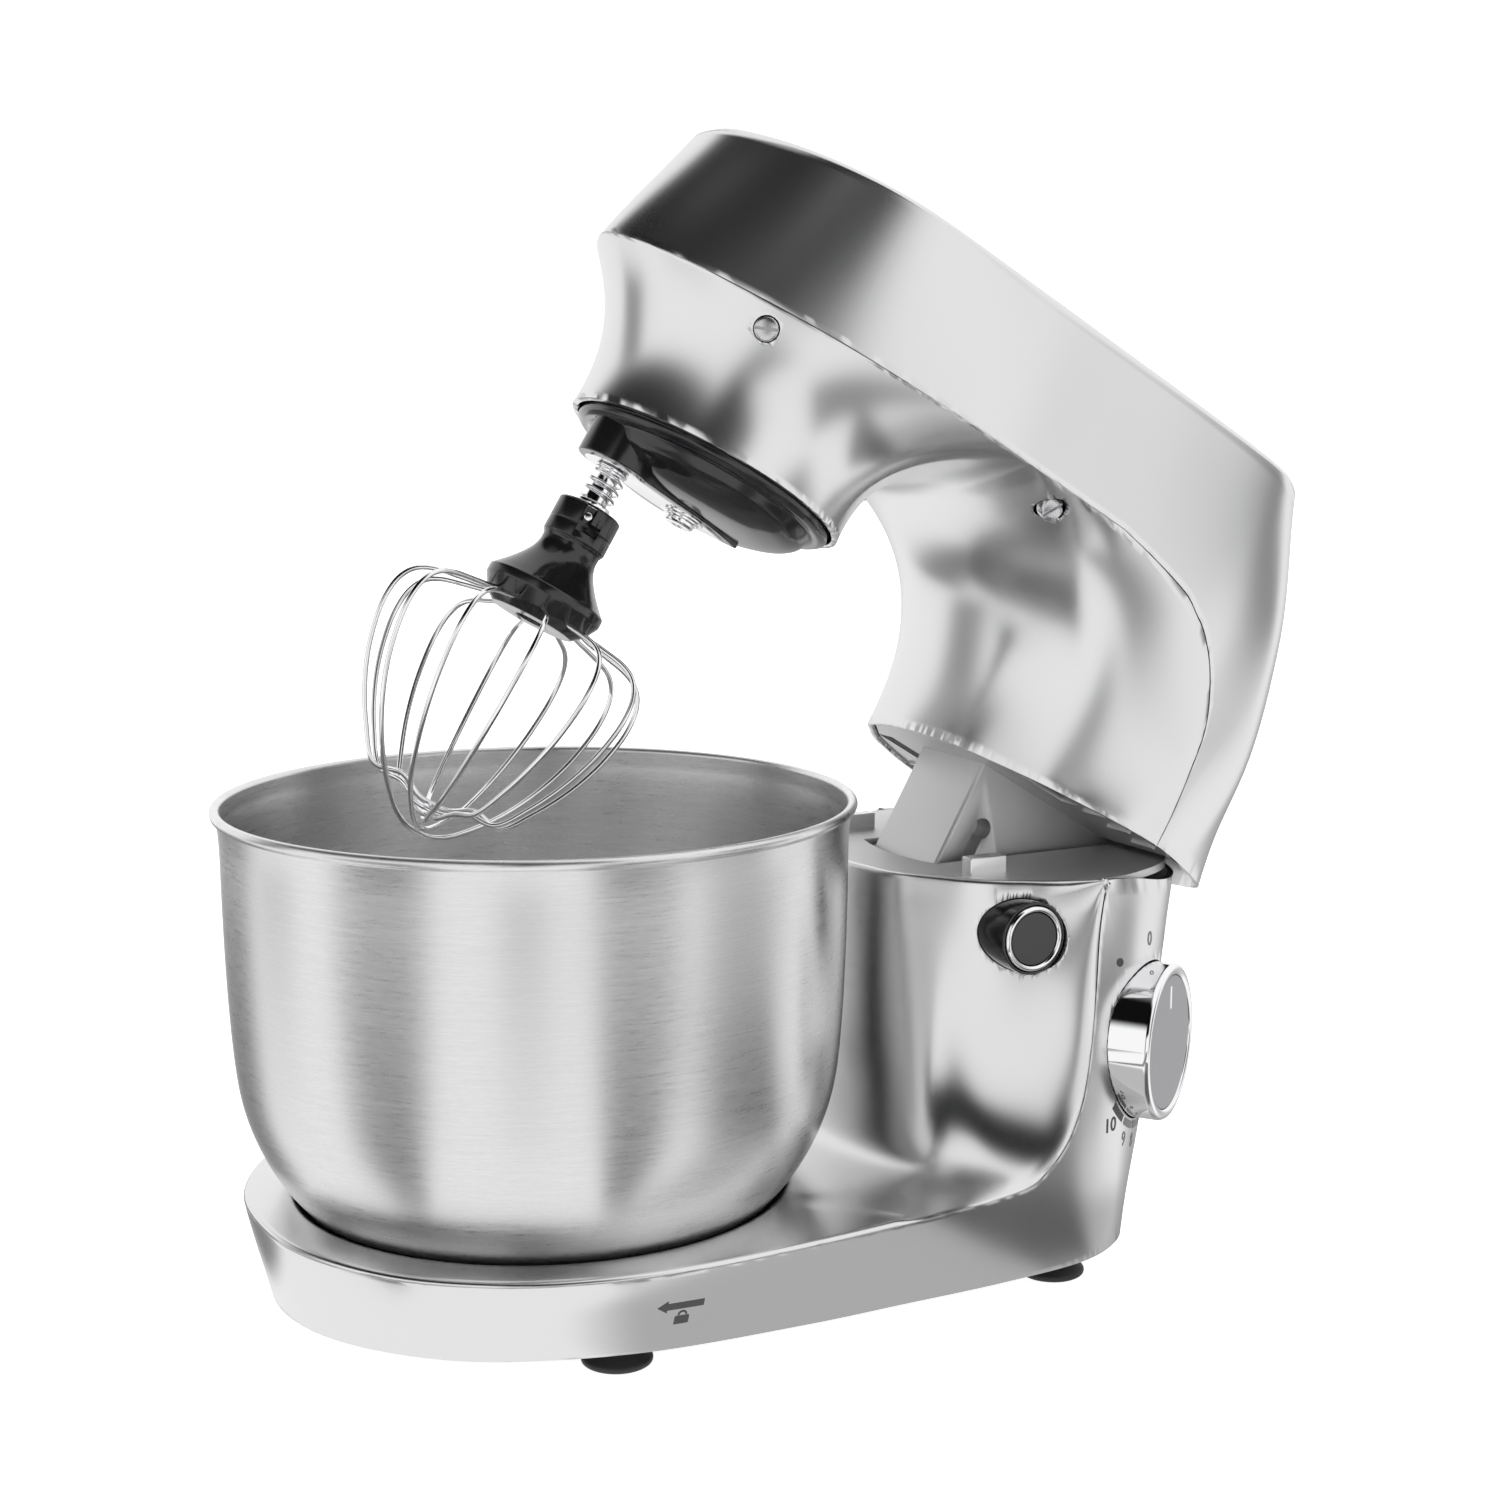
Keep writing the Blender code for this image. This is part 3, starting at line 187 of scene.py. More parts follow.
class Wall:
    """A body's outer wall through stacked half outlines, read as a radius at an angle from the nose.
    Two of the outlines go all round. The others are short, and lean over to the line through those two."""

    def __init__(self, *levels):
        self.heights = np.array([height for height, _ in levels])
        self.angles = np.linspace(0, math.pi, 1441)
        whole = [i for i, (_, points) in enumerate(levels) if points[0][1] == 0]
        low, high = (self.polar(half_outline(levels[i][1])) for i in whole)
        span = levels[whole[1]][0] - levels[whole[0]][0]
        rows = []
        for i, (height, points) in enumerate(levels):
            share = (height - levels[whole[0]][0]) / span
            line = low + (high - low) * share
            if i in whole:
                rows.append(line)
                continue
            line = low + (high - low) * np.clip(share, -0.4, 1.4)
            own = self.polar(half_outline(points))
            first = math.atan2(points[0][1], BODY_CENTRE_X - points[0][0])
            start = int(np.searchsorted(self.angles, first))
            fade = np.clip((first - self.angles) / 0.5, 0, 1)
            fade = 1 - eased(fade)
            rows.append(np.where(self.angles < first, line + (own[start] - line[start]) * fade, own))
        self.grid = np.array([fair(row, 60) for row in rows])

    def polar(self, points):
        across = BODY_CENTRE_X - points[:, 0]
        angle = np.arctan2(points[:, 1], across)
        return np.interp(self.angles, angle, np.hypot(points[:, 1], across))

    def radius(self, angle, height):
        """Cubic between the levels, and straight beyond them."""
        angle, height = np.broadcast_arrays(np.asarray(angle, float), np.asarray(height, float))
        values = np.array([np.interp(angle, self.angles, row) for row in self.grid])
        levels = self.heights
        rates = [(values[i + 1] - values[i]) / (levels[i + 1] - levels[i]) for i in range(len(levels) - 1)]
        slopes = [rates[0]]
        for i in range(1, len(rates)):
            before = levels[i] - levels[i - 1]
            after = levels[i + 1] - levels[i]
            slopes.append((rates[i - 1] * after + rates[i] * before) / (before + after))
        slopes.append(rates[-1])
        out = np.zeros(angle.shape)
        for i in range(len(levels) - 1):
            gap = levels[i + 1] - levels[i]
            t = np.clip((height - levels[i]) / gap, 0, 1)
            curve = values[i] * (1 + 2 * t) * (1 - t) ** 2 + slopes[i] * gap * t * (1 - t) ** 2
            curve = curve + values[i + 1] * t * t * (3 - 2 * t) + slopes[i + 1] * gap * t * t * (t - 1)
            inside = (height >= levels[i]) if i else True
            out = np.where(inside, curve, out)
        return out

    def points(self, angle, height):
        radius = self.radius(angle, height)
        angle, height = np.broadcast_arrays(np.asarray(angle, float), np.asarray(height, float))
        x = BODY_CENTRE_X - radius * np.cos(angle)
        return np.stack([x, radius * np.sin(angle), height], axis=-1)

    def angle_at(self, x, height):
        angles = np.linspace(0, math.pi, 721)
        return float(np.interp(x, self.points(angles, height)[:, 0], angles))

    def angles_between(self, start, end, height, count):
        """Angles whose points lie evenly along the outline at one height."""
        angles = np.linspace(start, end, 400)
        line = np.column_stack([self.points(angles, height), angles])
        return evenly(line, count)[:, 3]


BASE_WALL = Wall(
    (BASE_Z, SKIRT_BOTTOM), (PARTING_Z, SKIRT_PARTING), (0.090, SKIRT_WAIST), (WAIST_Z, SKIRT_TOP)
)
HEAD_WALL = Wall(
    (NECK_Z, COVER_FOOT), (0.204, COVER_WAIST), (HEAD_SEAM_Z, COVER_PARTING), (CROWN_Z, COVER_CROWN)
)


def inwards(ring, distance):
    """A half ring moved towards the inside, level, by this distance."""
    ring = np.asarray(ring, float)
    along = np.gradient(ring[:, :2], axis=0)
    if abs(ring[0][1]) < 1e-9:
        along[0] = (0, 1)
    if abs(ring[-1][1]) < 1e-9:
        along[-1] = (0, -1)
    along /= np.linalg.norm(along, axis=1)[:, None]
    moved = ring.copy()
    moved[:, 0] += along[:, 1] * distance
    moved[:, 1] -= along[:, 0] * distance
    return moved


# Objects


def put_in(name, data):
    """A new object in the scene."""
    made = bpy.data.objects.new(name, data)
    bpy.context.scene.collection.objects.link(made)
    return made


def add(name, data, finish, body, place=BASE_PLACE, stands_for=(), angle=40):
    """One visible piece: its mesh in the base's or the head's own frame, riding on a body."""
    made = put_in(name, data)
    data.materials.clear()
    data.materials.append(finish)
    if made.type == "MESH":
        data.shade_smooth()
        data.set_sharp_from_angle(angle=math.radians(angle))
    if place.to_euler() != Matrix.Identity(4).to_euler():
        data.transform(place)
        place = Matrix.Identity(4)
    made.matrix_world = place
    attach(made, body)
    if stands_for:
        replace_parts(made, *stands_for)
    return made


def mesh_of(name, points, faces):
    data = bpy.data.meshes.new(name)
    data.from_pydata([tuple(point) for point in points], [], faces)
    data.update()
    return data


class Surface:
    """Quads gathered from strips of half curves, mirrored across the centre plane."""

    def __init__(self):
        self.points = []
        self.faces = []

    def strip(self, rows):
        for side in (1, -1):
            start = len(self.points)
            width = len(rows[0])
            for row in rows:
                self.points.extend((x, y * side, z) for x, y, z in row)
            for i in range(len(rows) - 1):
                for j in range(width - 1):
                    low = start + i * width + j
                    quad = (low, low + 1, low + width + 1, low + width)
                    self.faces.append(quad if side > 0 else quad[::-1])

    def mesh(self, name, inside):
        form = bmesh.new()
        data = mesh_of(name, self.points, self.faces)
        form.from_mesh(data)
        bmesh.ops.remove_doubles(form, verts=form.verts, dist=0.00001)
        bmesh.ops.dissolve_degenerate(form, dist=0.000001, edges=form.edges)
        bmesh.ops.recalc_face_normals(form, faces=form.faces)
        inside = Vector(inside)
        outwards = sum(f.normal.dot(f.calc_center_median() - inside) * f.calc_area() for f in form.faces)
        if outwards < 0:
            bmesh.ops.reverse_faces(form, faces=form.faces)
        return poured(form, data)


def relax(data, passes, weight):
    """Moves each point towards its neighbours' mean, by its own weight. Open edges stay."""
    points = np.array([v.co for v in data.vertices])
    ends = np.array([e.vertices for e in data.edges])
    counts = np.zeros(len(points))
    for side in (0, 1):
        np.add.at(counts, ends[:, side], 1)
    share = np.array([weight(*point) for point in points])
    form = bmesh.new()
    form.from_mesh(data)
    form.verts.ensure_lookup_table()
    share[[v.index for v in form.verts if v.is_boundary]] = 0
    form.free()
    for _ in range(passes):
        total = np.zeros_like(points)
        for axis in range(3):
            total[:, axis] += np.bincount(ends[:, 0], points[ends[:, 1], axis], len(points))
            total[:, axis] += np.bincount(ends[:, 1], points[ends[:, 0], axis], len(points))
        points += (total / counts[:, None] - points) * (0.5 * share[:, None])
    data.vertices.foreach_set("co", points.ravel())
    data.update()


def turned_mesh(name, profile, steps=96, closed=False):
    """A profile of (radius, height) points turned about Z."""
    profile = [tuple(point) for point in profile]
    count = len(profile)
    points = []
    for i in range(steps):
        angle = 2 * math.pi * i / steps
        points.extend((r * math.cos(angle), r * math.sin(angle), z) for r, z in profile)
    faces = []
    last = count if closed else count - 1
    for i in range(steps):
        low = i * count
        high = (i + 1) % steps * count
        for j in range(last):
            k = (j + 1) % count
            faces.append((low + j, low + k, high + k, high + j))
    form = bmesh.new()
    data = mesh_of(name, points, faces)
    form.from_mesh(data)
    bmesh.ops.remove_doubles(form, verts=form.verts, dist=0.0000005)
    bmesh.ops.dissolve_degenerate(form, dist=0.0000001, edges=form.edges)
    bmesh.ops.recalc_face_normals(form, faces=form.faces)
    return poured(form, data)


def turned(name, profile, steps, finish, body, place, stands_for=(), angle=40):
    """One visible piece turned about the Z of its place."""
    return add(name, turned_mesh(name, profile, steps), finish, body, place, stands_for, angle)


def rounded(profile, radius, steps=4):
    """A polygonal profile with each inner corner rounded off by an arc of about this radius."""
    points = [np.array(point, float) for point in profile]
    out = [points[0]]
    for before, corner, after in zip(points, points[1:], points[2:]):
        first = before - corner
        second = after - corner
        reach = min(radius, 0.45 * np.linalg.norm(first), 0.45 * np.linalg.norm(second))
        start = corner + first / max(np.linalg.norm(first), 1e-9) * reach
        end = corner + second / max(np.linalg.norm(second), 1e-9) * reach
        for t in np.linspace(0, 1, steps + 1):
            out.append(start * (1 - t) ** 2 + 2 * corner * t * (1 - t) + end * t**2)
    return [*out, points[-1]]


def filled(rings, height):
    """A level form with an outline, and holes where further rings are given."""
    form = bmesh.new()
    loops = []
    for ring in rings:
        verts = [form.verts.new((x, y, height)) for x, y in ring]
        loops.extend(form.edges.new((a, b)) for a, b in zip(verts, verts[1:] + verts[:1]))
    bmesh.ops.triangle_fill(form, use_beauty=True, edges=loops)
    return form


def poured(form, data):
    """The form moved into the mesh, and let go."""
    form.to_mesh(data)
    form.free()
    return data


def extruded(name, outline, low, high, bevel=0.0004, holes=()):
    """A flat piece from an outline in XY, with its edges rounded over."""
    form = filled((outline, *holes), low)
    raised = bmesh.ops.extrude_face_region(form, geom=form.faces[:])
    moved = [item for item in raised["geom"] if isinstance(item, bmesh.types.BMVert)]
    bmesh.ops.translate(form, vec=(0, 0, high - low), verts=moved)
    bmesh.ops.recalc_face_normals(form, faces=form.faces)
    if bevel:
        sharp = [edge for edge in form.edges if edge.calc_face_angle(0) > 0.6]
        bmesh.ops.bevel(form, geom=sharp, offset=bevel, segments=3, profile=0.7, affect="EDGES")
    return poured(form, bpy.data.meshes.new(name))


def plug(radius, low, high, steps=96):
    """A round bar for cutting a hole."""
    return turned_mesh("hole", [(0, low), (radius, low), (radius, high), (0, high)], steps)


def solidify(obj, thickness=WALL):
    step = obj.modifiers.new("Wall", "SOLIDIFY")
    step.thickness = thickness
    step.offset = -1


def cut(obj, data, place):
    """Cuts a mesh out of the object, for good."""
    cutter = put_in("cutter", data)
    cutter.matrix_world = place
    step = obj.modifiers.new("Cut", "BOOLEAN")
    step.object = cutter
    step.solver = "MANIFOLD"
    bake(obj)
    bpy.data.objects.remove(cutter)


def bake(obj):
    """The object's modifiers made part of its mesh."""
    bpy.context.view_layer.update()
    graph = bpy.context.evaluated_depsgraph_get()
    data = bpy.data.meshes.new_from_object(obj.evaluated_get(graph), depsgraph=graph)
    obj.modifiers.clear()
    obj.data = data
    data.shade_smooth()
    data.set_sharp_from_angle(angle=math.radians(40))


def circle(radius, count=48, x=0.0, y=0.0):
    angles = [2 * math.pi * i / count for i in range(count)]
    return [(x + radius * math.cos(a), y + radius * math.sin(a)) for a in angles]


def rectangle(low_x, high_x, low_y, high_y):
    return [(low_x, low_y), (high_x, low_y), (high_x, high_y), (low_x, high_y)]


def closed_ring(half):
    """A whole outline in XY from half of one that starts and ends on the centre line."""
    half = [(x, y) for x, y, *_ in half]
    return half + [(x, -y) for x, y in half[-2:0:-1]]


def rim(obj, thickness=WALL, width=0.0004):
    """Gives a skin its thickness and rounds its edges."""
    if thickness:
        solidify(obj, thickness)
    step = obj.modifiers.new("Edges", "BEVEL")
    step.limit_method = "ANGLE"
    step.angle_limit = math.radians(50)
    step.width = width
    step.segments = 3
    step.harden_normals = True
    bake(obj)


# Finishes


def new_material(name, colour, metallic, roughness, **inputs):
    finish = bpy.data.materials.new(name)
    finish.use_nodes = True
    shader = finish.node_tree.nodes["Principled BSDF"]
    shader.inputs["Base Color"].default_value = (*colour, 1)
    shader.inputs["Metallic"].default_value = metallic
    shader.inputs["Roughness"].default_value = roughness
    for socket, value in inputs.items():
        shader.inputs[socket.replace("_", " ")].default_value = value
    return finish


def node(tree, kind, inputs=None, **settings):
    """A shader node. An input is a number or a colour, or the socket of another node to join it to."""
    made = tree.nodes.new("ShaderNode" + kind)
    for key, value in settings.items():
        setattr(made, key, value)
    for key, value in (inputs or {}).items():
        if isinstance(value, bpy.types.NodeSocket):
            tree.links.new(value, made.inputs[key])
        else:
            made.inputs[key].default_value = value
    return made


def math_step(tree, operation, *values):
    return node(tree, "Math", dict(enumerate(values)), operation=operation).outputs["Value"]


def grained(name, colour, metallic, roughness, scale, spread, bump, stretch=(1, 1, 1), shade=0.0, **inputs):
    """A finish whose roughness, colour and height vary with a fine noise over the object."""
    finish = new_material(name, colour, metallic, roughness, **inputs)
    tree = finish.node_tree
    spot = node(tree, "TexCoord").outputs["Object"]
    mapping = node(tree, "Mapping", {"Vector": spot, "Scale": stretch}).outputs["Vector"]
    noise = node(tree, "TexNoise", {"Vector": mapping, "Scale": scale, "Detail": 3.0})
    vary(tree, noise.outputs["Fac"], colour, roughness, spread, bump, shade)
    return finish


def vary(tree, value, colour, roughness, spread, bump, shade):
    """Drives roughness, colour and bump from one noise value, which lies mostly between the two limits."""
    limits = (0.3, 0.7)
    shader = tree.nodes["Principled BSDF"]
    span = {"Value": value, "From Min": limits[0], "From Max": limits[1]}
    span.update({"To Min": roughness - spread, "To Max": roughness + spread})
    tree.links.new(node(tree, "MapRange", span).outputs["Result"], shader.inputs["Roughness"])
    if shade:
        ramp = node(tree, "ValToRGB", {"Fac": value})
        for stop, position, strength in zip(ramp.color_ramp.elements, limits, (1 - shade, 1 + shade)):
            stop.position = position
            stop.color = (*[min(1, c * strength) for c in colour], 1)
        tree.links.new(ramp.outputs["Color"], shader.inputs["Base Color"])
    height = node(tree, "Bump", {"Height": value, "Strength": 0.3, "Distance": bump})
    tree.links.new(height.outputs["Normal"], shader.inputs["Normal"])


def brushed_round(name, colour, roughness):
    """Steel brushed round its upright axis: short fine scratches that follow the turn."""
    finish = new_material(name, colour, 1.0, roughness, Anisotropic=0.8, Anisotropic_Rotation=0.25)
    tree = finish.node_tree
    tangent = node(tree, "Tangent", direction_type="RADIAL", axis="Z").outputs["Tangent"]
    tree.links.new(tangent, tree.nodes["Principled BSDF"].inputs["Tangent"])
    spot = node(tree, "TexCoord").outputs["Object"]
    parts = node(tree, "SeparateXYZ", {"Vector": spot}).outputs
    turn = math_step(tree, "ARCTAN2", parts["Y"], parts["X"])
    reach = node(tree, "VectorMath", {0: spot}, operation="LENGTH").outputs["Value"]
    across = math_step(tree, "MULTIPLY", parts["Z"], 900.0)
    deep = math_step(tree, "MULTIPLY", reach, 300.0)
    layers = []
    for along, scale in ((5.0, 1.0), (16.0, 1.6)):
        around = math_step(tree, "MULTIPLY", turn, along)
        place = node(tree, "CombineXYZ", {"X": around, "Y": across, "Z": deep}).outputs["Vector"]
        noise = node(tree, "TexNoise", {"Vector": place, "Scale": scale, "Detail": 4.0, "Roughness": 0.65})
        layers.append(noise.outputs["Fac"])
    half = math_step(tree, "MULTIPLY", math_step(tree, "ADD", *layers), 0.5)
    vary(tree, half, colour, roughness, 0.06, 0.000015, 0.11)
    return finish


SILVER = grained("Satin silver", (0.80, 0.80, 0.805), 1.0, 0.25, 1800.0, 0.01, 0.000002, shade=0.01)
MATT = grained("Matt silver", (0.78, 0.78, 0.785), 1.0, 0.48, 1800.0, 0.01, 0.000002, shade=0.01)
BOWL_STEEL = brushed_round("Brushed bowl steel", (0.80, 0.80, 0.80), 0.30)
STEEL = grained("Plain steel", (0.62, 0.62, 0.63), 1.0, 0.25, 900.0, 0.06, 0.00001, (1, 1, 6), 0.05)
CHROME = grained("Chrome", (0.93, 0.93, 0.94), 1.0, 0.045, 400.0, 0.012, 0.000001)
BLACK = grained(
    "Gloss black plastic", (0.010, 0.010, 0.011), 0.0, 0.16, 1500.0, 0.03, 0.000004, Coat_Weight=0.4
)
DARK = grained("Dark moulded plastic", (0.045, 0.045, 0.047), 0.0, 0.50, 2500.0, 0.06, 0.00003, shade=0.08)
GREY = grained("Grey dial face", (0.27, 0.27, 0.28), 0.0, 0.42, 2500.0, 0.04, 0.00001, shade=0.03)
RUBBER = grained("Black rubber", (0.022, 0.022, 0.022), 0.0, 0.55, 1800.0, 0.08, 0.00004, shade=0.10)
BRASS = grained("Machined brass", (0.60, 0.42, 0.16), 1.0, 0.30, 900.0, 0.06, 0.00002, (1, 1, 5), 0.05)
BOARD = grained("Circuit board", (0.02, 0.14, 0.05), 0.0, 0.45, 700.0, 0.05, 0.00002, shade=0.15)
PRINT, PRINT_MID, PRINT_PALE = (
    grained(name, colour, 0.0, 0.5, 2500.0, 0.05, 0.000002, shade=0.05)
    for name, colour in (
        ("Printed marks", (0.05, 0.05, 0.052)),
        ("Printed marks, mid grey", (0.17, 0.17, 0.17)),
        ("Printed marks, pale grey", (0.36, 0.36, 0.36)),
    )
)
WHITE = grained("White pointer", (0.85, 0.85, 0.85), 0.0, 0.4, 2000.0, 0.05, 0.000002, shade=0.03)

FINISHES = {
    "silver": SILVER, "bowl_steel": BOWL_STEEL, "steel": STEEL, "chrome": CHROME, "black": BLACK,
    "dark": DARK, "grey": GREY, "rubber": RUBBER, "brass": BRASS, "board": BOARD,
}
for part in frame["record"]["subparts"]:
    for part_slot in frame["nodes"][part["node"]].material_slots:
        part_slot.material = FINISHES[part["material_slot"]]


# The base

FINER = 4


def rise_stations(wall, rise, count):
    """Angles and heights evenly along a parting line that is given in side view."""
    line = evenly(spline_points(rise), count)
    return [(wall.angle_at(x, z), z) for x, z in line]


def base_stations():
    """(angle, top height) around half of the skirt's top edge: front, rise and rear."""
    start = BASE_WALL.angle_at(BASE_RISE[0][0], PARTING_Z)
    front = [(a, PARTING_Z) for a in BASE_WALL.angles_between(0, start, PARTING_Z, 15 * FINER)]
    rise = rise_stations(BASE_WALL, BASE_RISE, 12 * FINER)
    rear_angles = BASE_WALL.angles_between(rise[-1][0], math.pi, WAIST_Z, 9 * FINER)
    drop = np.clip(np.linspace(0, 3, 9 * FINER), 0, 1)
    rear = [(a, COLUMN_TOP_Z - REAR_DROP * d) for a, d in zip(rear_angles, eased(drop))]
    return front, rise[1:], rear[1:]


def make_base_skirt():
    front, rise, rear = base_stations()
    angles, tops = np.array(front + rise + rear).T
    rows = [BASE_WALL.points(angles, BASE_Z + share * (tops - BASE_Z)) for share in np.linspace(0, 1, 22)]
    surface = Surface()
    surface.strip(rows)
    skirt = add("skirt_shell", surface.mesh("skirt_shell", (0.070, 0, 0.060)), SILVER, "base")
    solidify(skirt)
    bake(skirt)
    cut(skirt, plug(DIAL_R + 0.0006, -0.030, 0.020), DIAL_PLACE)
    rim(skirt, 0, 0.00045)
    return skirt


def make_base_top():
    front, rise, _ = base_stations()
    lower = np.array([BASE_WALL.points(a, z) for a, z in front + rise])
    count = len(front)
    slope = np.gradient(lower[:, 2]) / np.linalg.norm(np.gradient(lower, axis=0), axis=1)
    lean = np.zeros(len(lower))
    lean[count - 1 :] = np.clip(slope[count - 1 :], 0, 1)
    lean = fair(lean, 12)
    shift = np.clip((np.arange(len(lower)) - count) / FINER, 0, 1)
    lower[:, 2] += SEAM
    lower[:, 0] -= 0.0006 * shift
    blend = lean[:, None] ** 3
    inner = inwards(lower, 0.0024)
    inner[:, 2] = np.maximum(DECK_Z * (1 - lean) + lower[:, 2] * lean, lower[:, 2] + 0.0012 * (1 - lean))
    ahead = lower + np.array([-0.0015, 0, 0]) * blend
    edge = inner * (1 - blend) + ahead * blend
    edge[: count - 3 * FINER, 2] = DECK_Z
    edge[:, 2] = fair(edge[:, 2], 8)
    rounding = []
    for t in np.linspace(0, math.pi / 2, 6):
        row = lower + (edge - lower) * (1 - math.cos(t))
        row[:, 2] = lower[:, 2] + (edge[:, 2] - lower[:, 2]) * math.sin(t)
        rounding.append(row)
    split = int(np.argmin(np.abs(edge[:count, 0] - 0.108)))
    valley = valley_curve(edge[split], (0.1085, 0, DECK_Z), DECK_Z, 7 * FINER)
    surface = Surface()
    surface.strip(rounding)
    ring = np.vstack([edge[: split + 1], valley[1:]])
    surface.strip(recess_rows(ring))
    foot = np.vstack([valley[::-1], edge[split + 1 :]])
    radius = 0.0022 * np.clip((len(foot) - 1 - np.arange(len(foot))) / (3 * FINER), 0, 1)
    top = matched_outline(COLUMN_TOP, len(valley), len(foot), 0.144, COLUMN_TOP_Z)
    top[:, 2] -= radius
    top[-1] = foot[-1]
    rows = column_rows(top, foot, len(valley), lean[split:])
    for t in np.linspace(0.3, math.pi / 2, 5):
        row = inwards(top, 0.0001)
        moved = inwards(top, 0.0022) - row
        row = row + moved * (1 - math.cos(t)) * (radius / 0.0022)[:, None]
        row[:, 2] = top[:, 2] + radius * math.sin(t)
        row[-1] = foot[-1]
        rows.append(row)
    surface.strip(rows)
    data = surface.mesh("base_top_shell", (0.160, 0, -0.060))
    relax(data, 60, lambda x, y, z: float(x > 0.100 and z < COLUMN_TOP_Z - 0.012))
    made = add("base_top_shell", data, SILVER, "base")
    solidify(made)
    bake(made)
    x, _, z = BUTTON_SPOT
    facing = BASE_PLACE @ Matrix.Translation((x, -0.075, z)) @ Matrix.Rotation(math.pi / 2, 4, "X")
    cut(made, plug(0.0144, -0.03, 0.03), facing)
    rim(made, 0, 0.00035)
    make_column_deck(rows[-1])
    return made


def valley_curve(start, end, low, count):
    """A line across half of a surface, from an edge point to the centre plane, sagging as a parabola."""
    share = np.linspace(0, 1, count)[:, None]
    curve = np.asarray(start, float) * (1 - share) + np.asarray(end, float) * share
    curve[:, 2] = low + (start[2] - low) * (1 - share[:, 0]) ** 2
    return curve


def recess_rows(ring):
    """The deck in to the round recess, over its rim, down its cone and across its floor."""
    angles = np.arctan2(ring[:, 1], -ring[:, 0])
    profile = rounded(
        [
            (RECESS_RIM + 0.004, DECK_Z), (RECESS_RIM - 0.0006, DECK_Z), (RECESS_FLOOR_R, RECESS_FLOOR_Z),
            (0.060, RECESS_FLOOR_Z), (0.0, RECESS_FLOOR_Z),
        ],
        0.0022,
        5,
    )
    rows = [ring]
    for radius, height in profile:
        rows.append(np.stack([-radius * np.cos(angles), radius * np.sin(angles), 0 * angles + height], -1))
    return rows


def matched_outline(outline, count, total, corner_x, height):
    """The end outline of a column or neck, with a station for each one at its wide end."""
    line = half_outline(outline, 40)
    line = np.column_stack([fair(line[:, 0], 40), fair(line[:, 1], 40)])
    corner = int(np.argmin(np.abs(line[:, 0] - corner_x)))
    front = evenly(line[: corner + 1], count)
    side = evenly(line[corner:], total - count + 1)
    flat = np.vstack([front, side[1:]])
    return np.column_stack([flat, np.full(len(flat), height)])


def column_rows(top, foot, front_count, lean):
    """Rows from the deck up to the column's top edge, each station sweeping out at its foot."""
    curves = []
    for i, (end, start) in enumerate(zip(top, foot)):
        height = end[2] - start[2]
        level = (end - start) * (1, 1, 0)
        reach = np.linalg.norm(level)
        level = level / max(reach, 1e-9)
        tilt = lean[max(0, i - front_count + 1)]
        leave = level * (1 - tilt) + np.array([0, 0, 1.0]) * tilt
        hold = 0.10 + 0.22 * min(1, i / front_count)
        low = start + leave * (0.62 * reach * (1 - tilt) + 0.35 * height * tilt)
        high = end - np.array([0, 0, height * (1 - hold)])
        curves.append(bezier(start, low, high, end, 7 * FINER))
    return list(np.array(curves).transpose(1, 0, 2))


def make_column_deck(edge):
    """The column's flat top, out to the rounded edge, with the arm's slot and two lugs."""
    rear_angles = BASE_WALL.angles_between(2.55, math.pi, WAIST_Z, 40)
    rear = inwards([BASE_WALL.points(a, WAIST_Z) for a in rear_angles], WALL + 0.0012)
    half = np.vstack([edge[:, :2], rear[:, :2]])
    half[0][1] = 0
    half[-1][1] = 0
    bow = [(0.1540 + 0.0045 * (y / 0.028) ** 2, y) for y in np.linspace(0.028, -0.028, 25)]
    slot = [(0.2545, -0.028), (0.2545, 0.028), *bow]
    data = extruded("column_deck", closed_ring(half), COLUMN_TOP_Z - 0.0030, COLUMN_TOP_Z, 0, (slot,))
    form = bmesh.new()
    form.from_mesh(data)
    lips = [
        e for e in form.edges
        if e.calc_face_angle(0) > 0.6
        and all(abs(v.co.y) < 0.0285 and 0.150 < v.co.x < 0.2550 for v in e.verts)
    ]
    bmesh.ops.bevel(form, geom=lips, offset=0.0005, segments=3, profile=0.7, affect="EDGES")
    add("column_deck", poured(form, data), MATT, "base")
    for side in (-1, 1):
        inner, outer = sorted((side * 0.047, side * 0.0535))
        name = f"column_lug_{1 if side < 0 else 2}"
        lug = extruded(name, rectangle(0.1585, 0.175, inner, outer), COLUMN_TOP_Z - 0.002, 0.1623, 0.0007)
        add(name, lug, SILVER, "base")


def make_feet():
    profile = rounded(
        [
            (0, 0.0102), (0.0085, 0.0102), (0.0090, 0.0066), (0.0118, 0.0036), (0.0130, 0.0024),
            (0.0129, 0.0009),
            (0.0115, 0), (0.0, 0),
        ],
        0.0008,
    )
    for number in range(1, 5):
        low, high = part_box(f"foot_{number}")
        middle = (low + high) / 2
        place = Matrix.Translation((middle.x, middle.y, 0))
        pad = turned_mesh("foot_pad", profile, 96)
        add(f"foot_pad_{number}", pad, RUBBER, "base", place, (f"foot_{number}",))


# The button and the dial

BUTTON_SPOT = (0.1705, -0.0785, 0.1349)
DIAL_R = 0.031
DIAL_JOINT = JOINTS["dial_turn"]
DIAL_NORMAL = Vector(DIAL_JOINT["axis"]).normalized()
ACROSS = Vector((-DIAL_NORMAL.y, DIAL_NORMAL.x, 0))
DIAL_PLACE = (
    Matrix.Translation(DIAL_JOINT["pos_m"]) @ Matrix((ACROSS, (0, 0, 1), DIAL_NORMAL)).transposed().to_4x4()
)


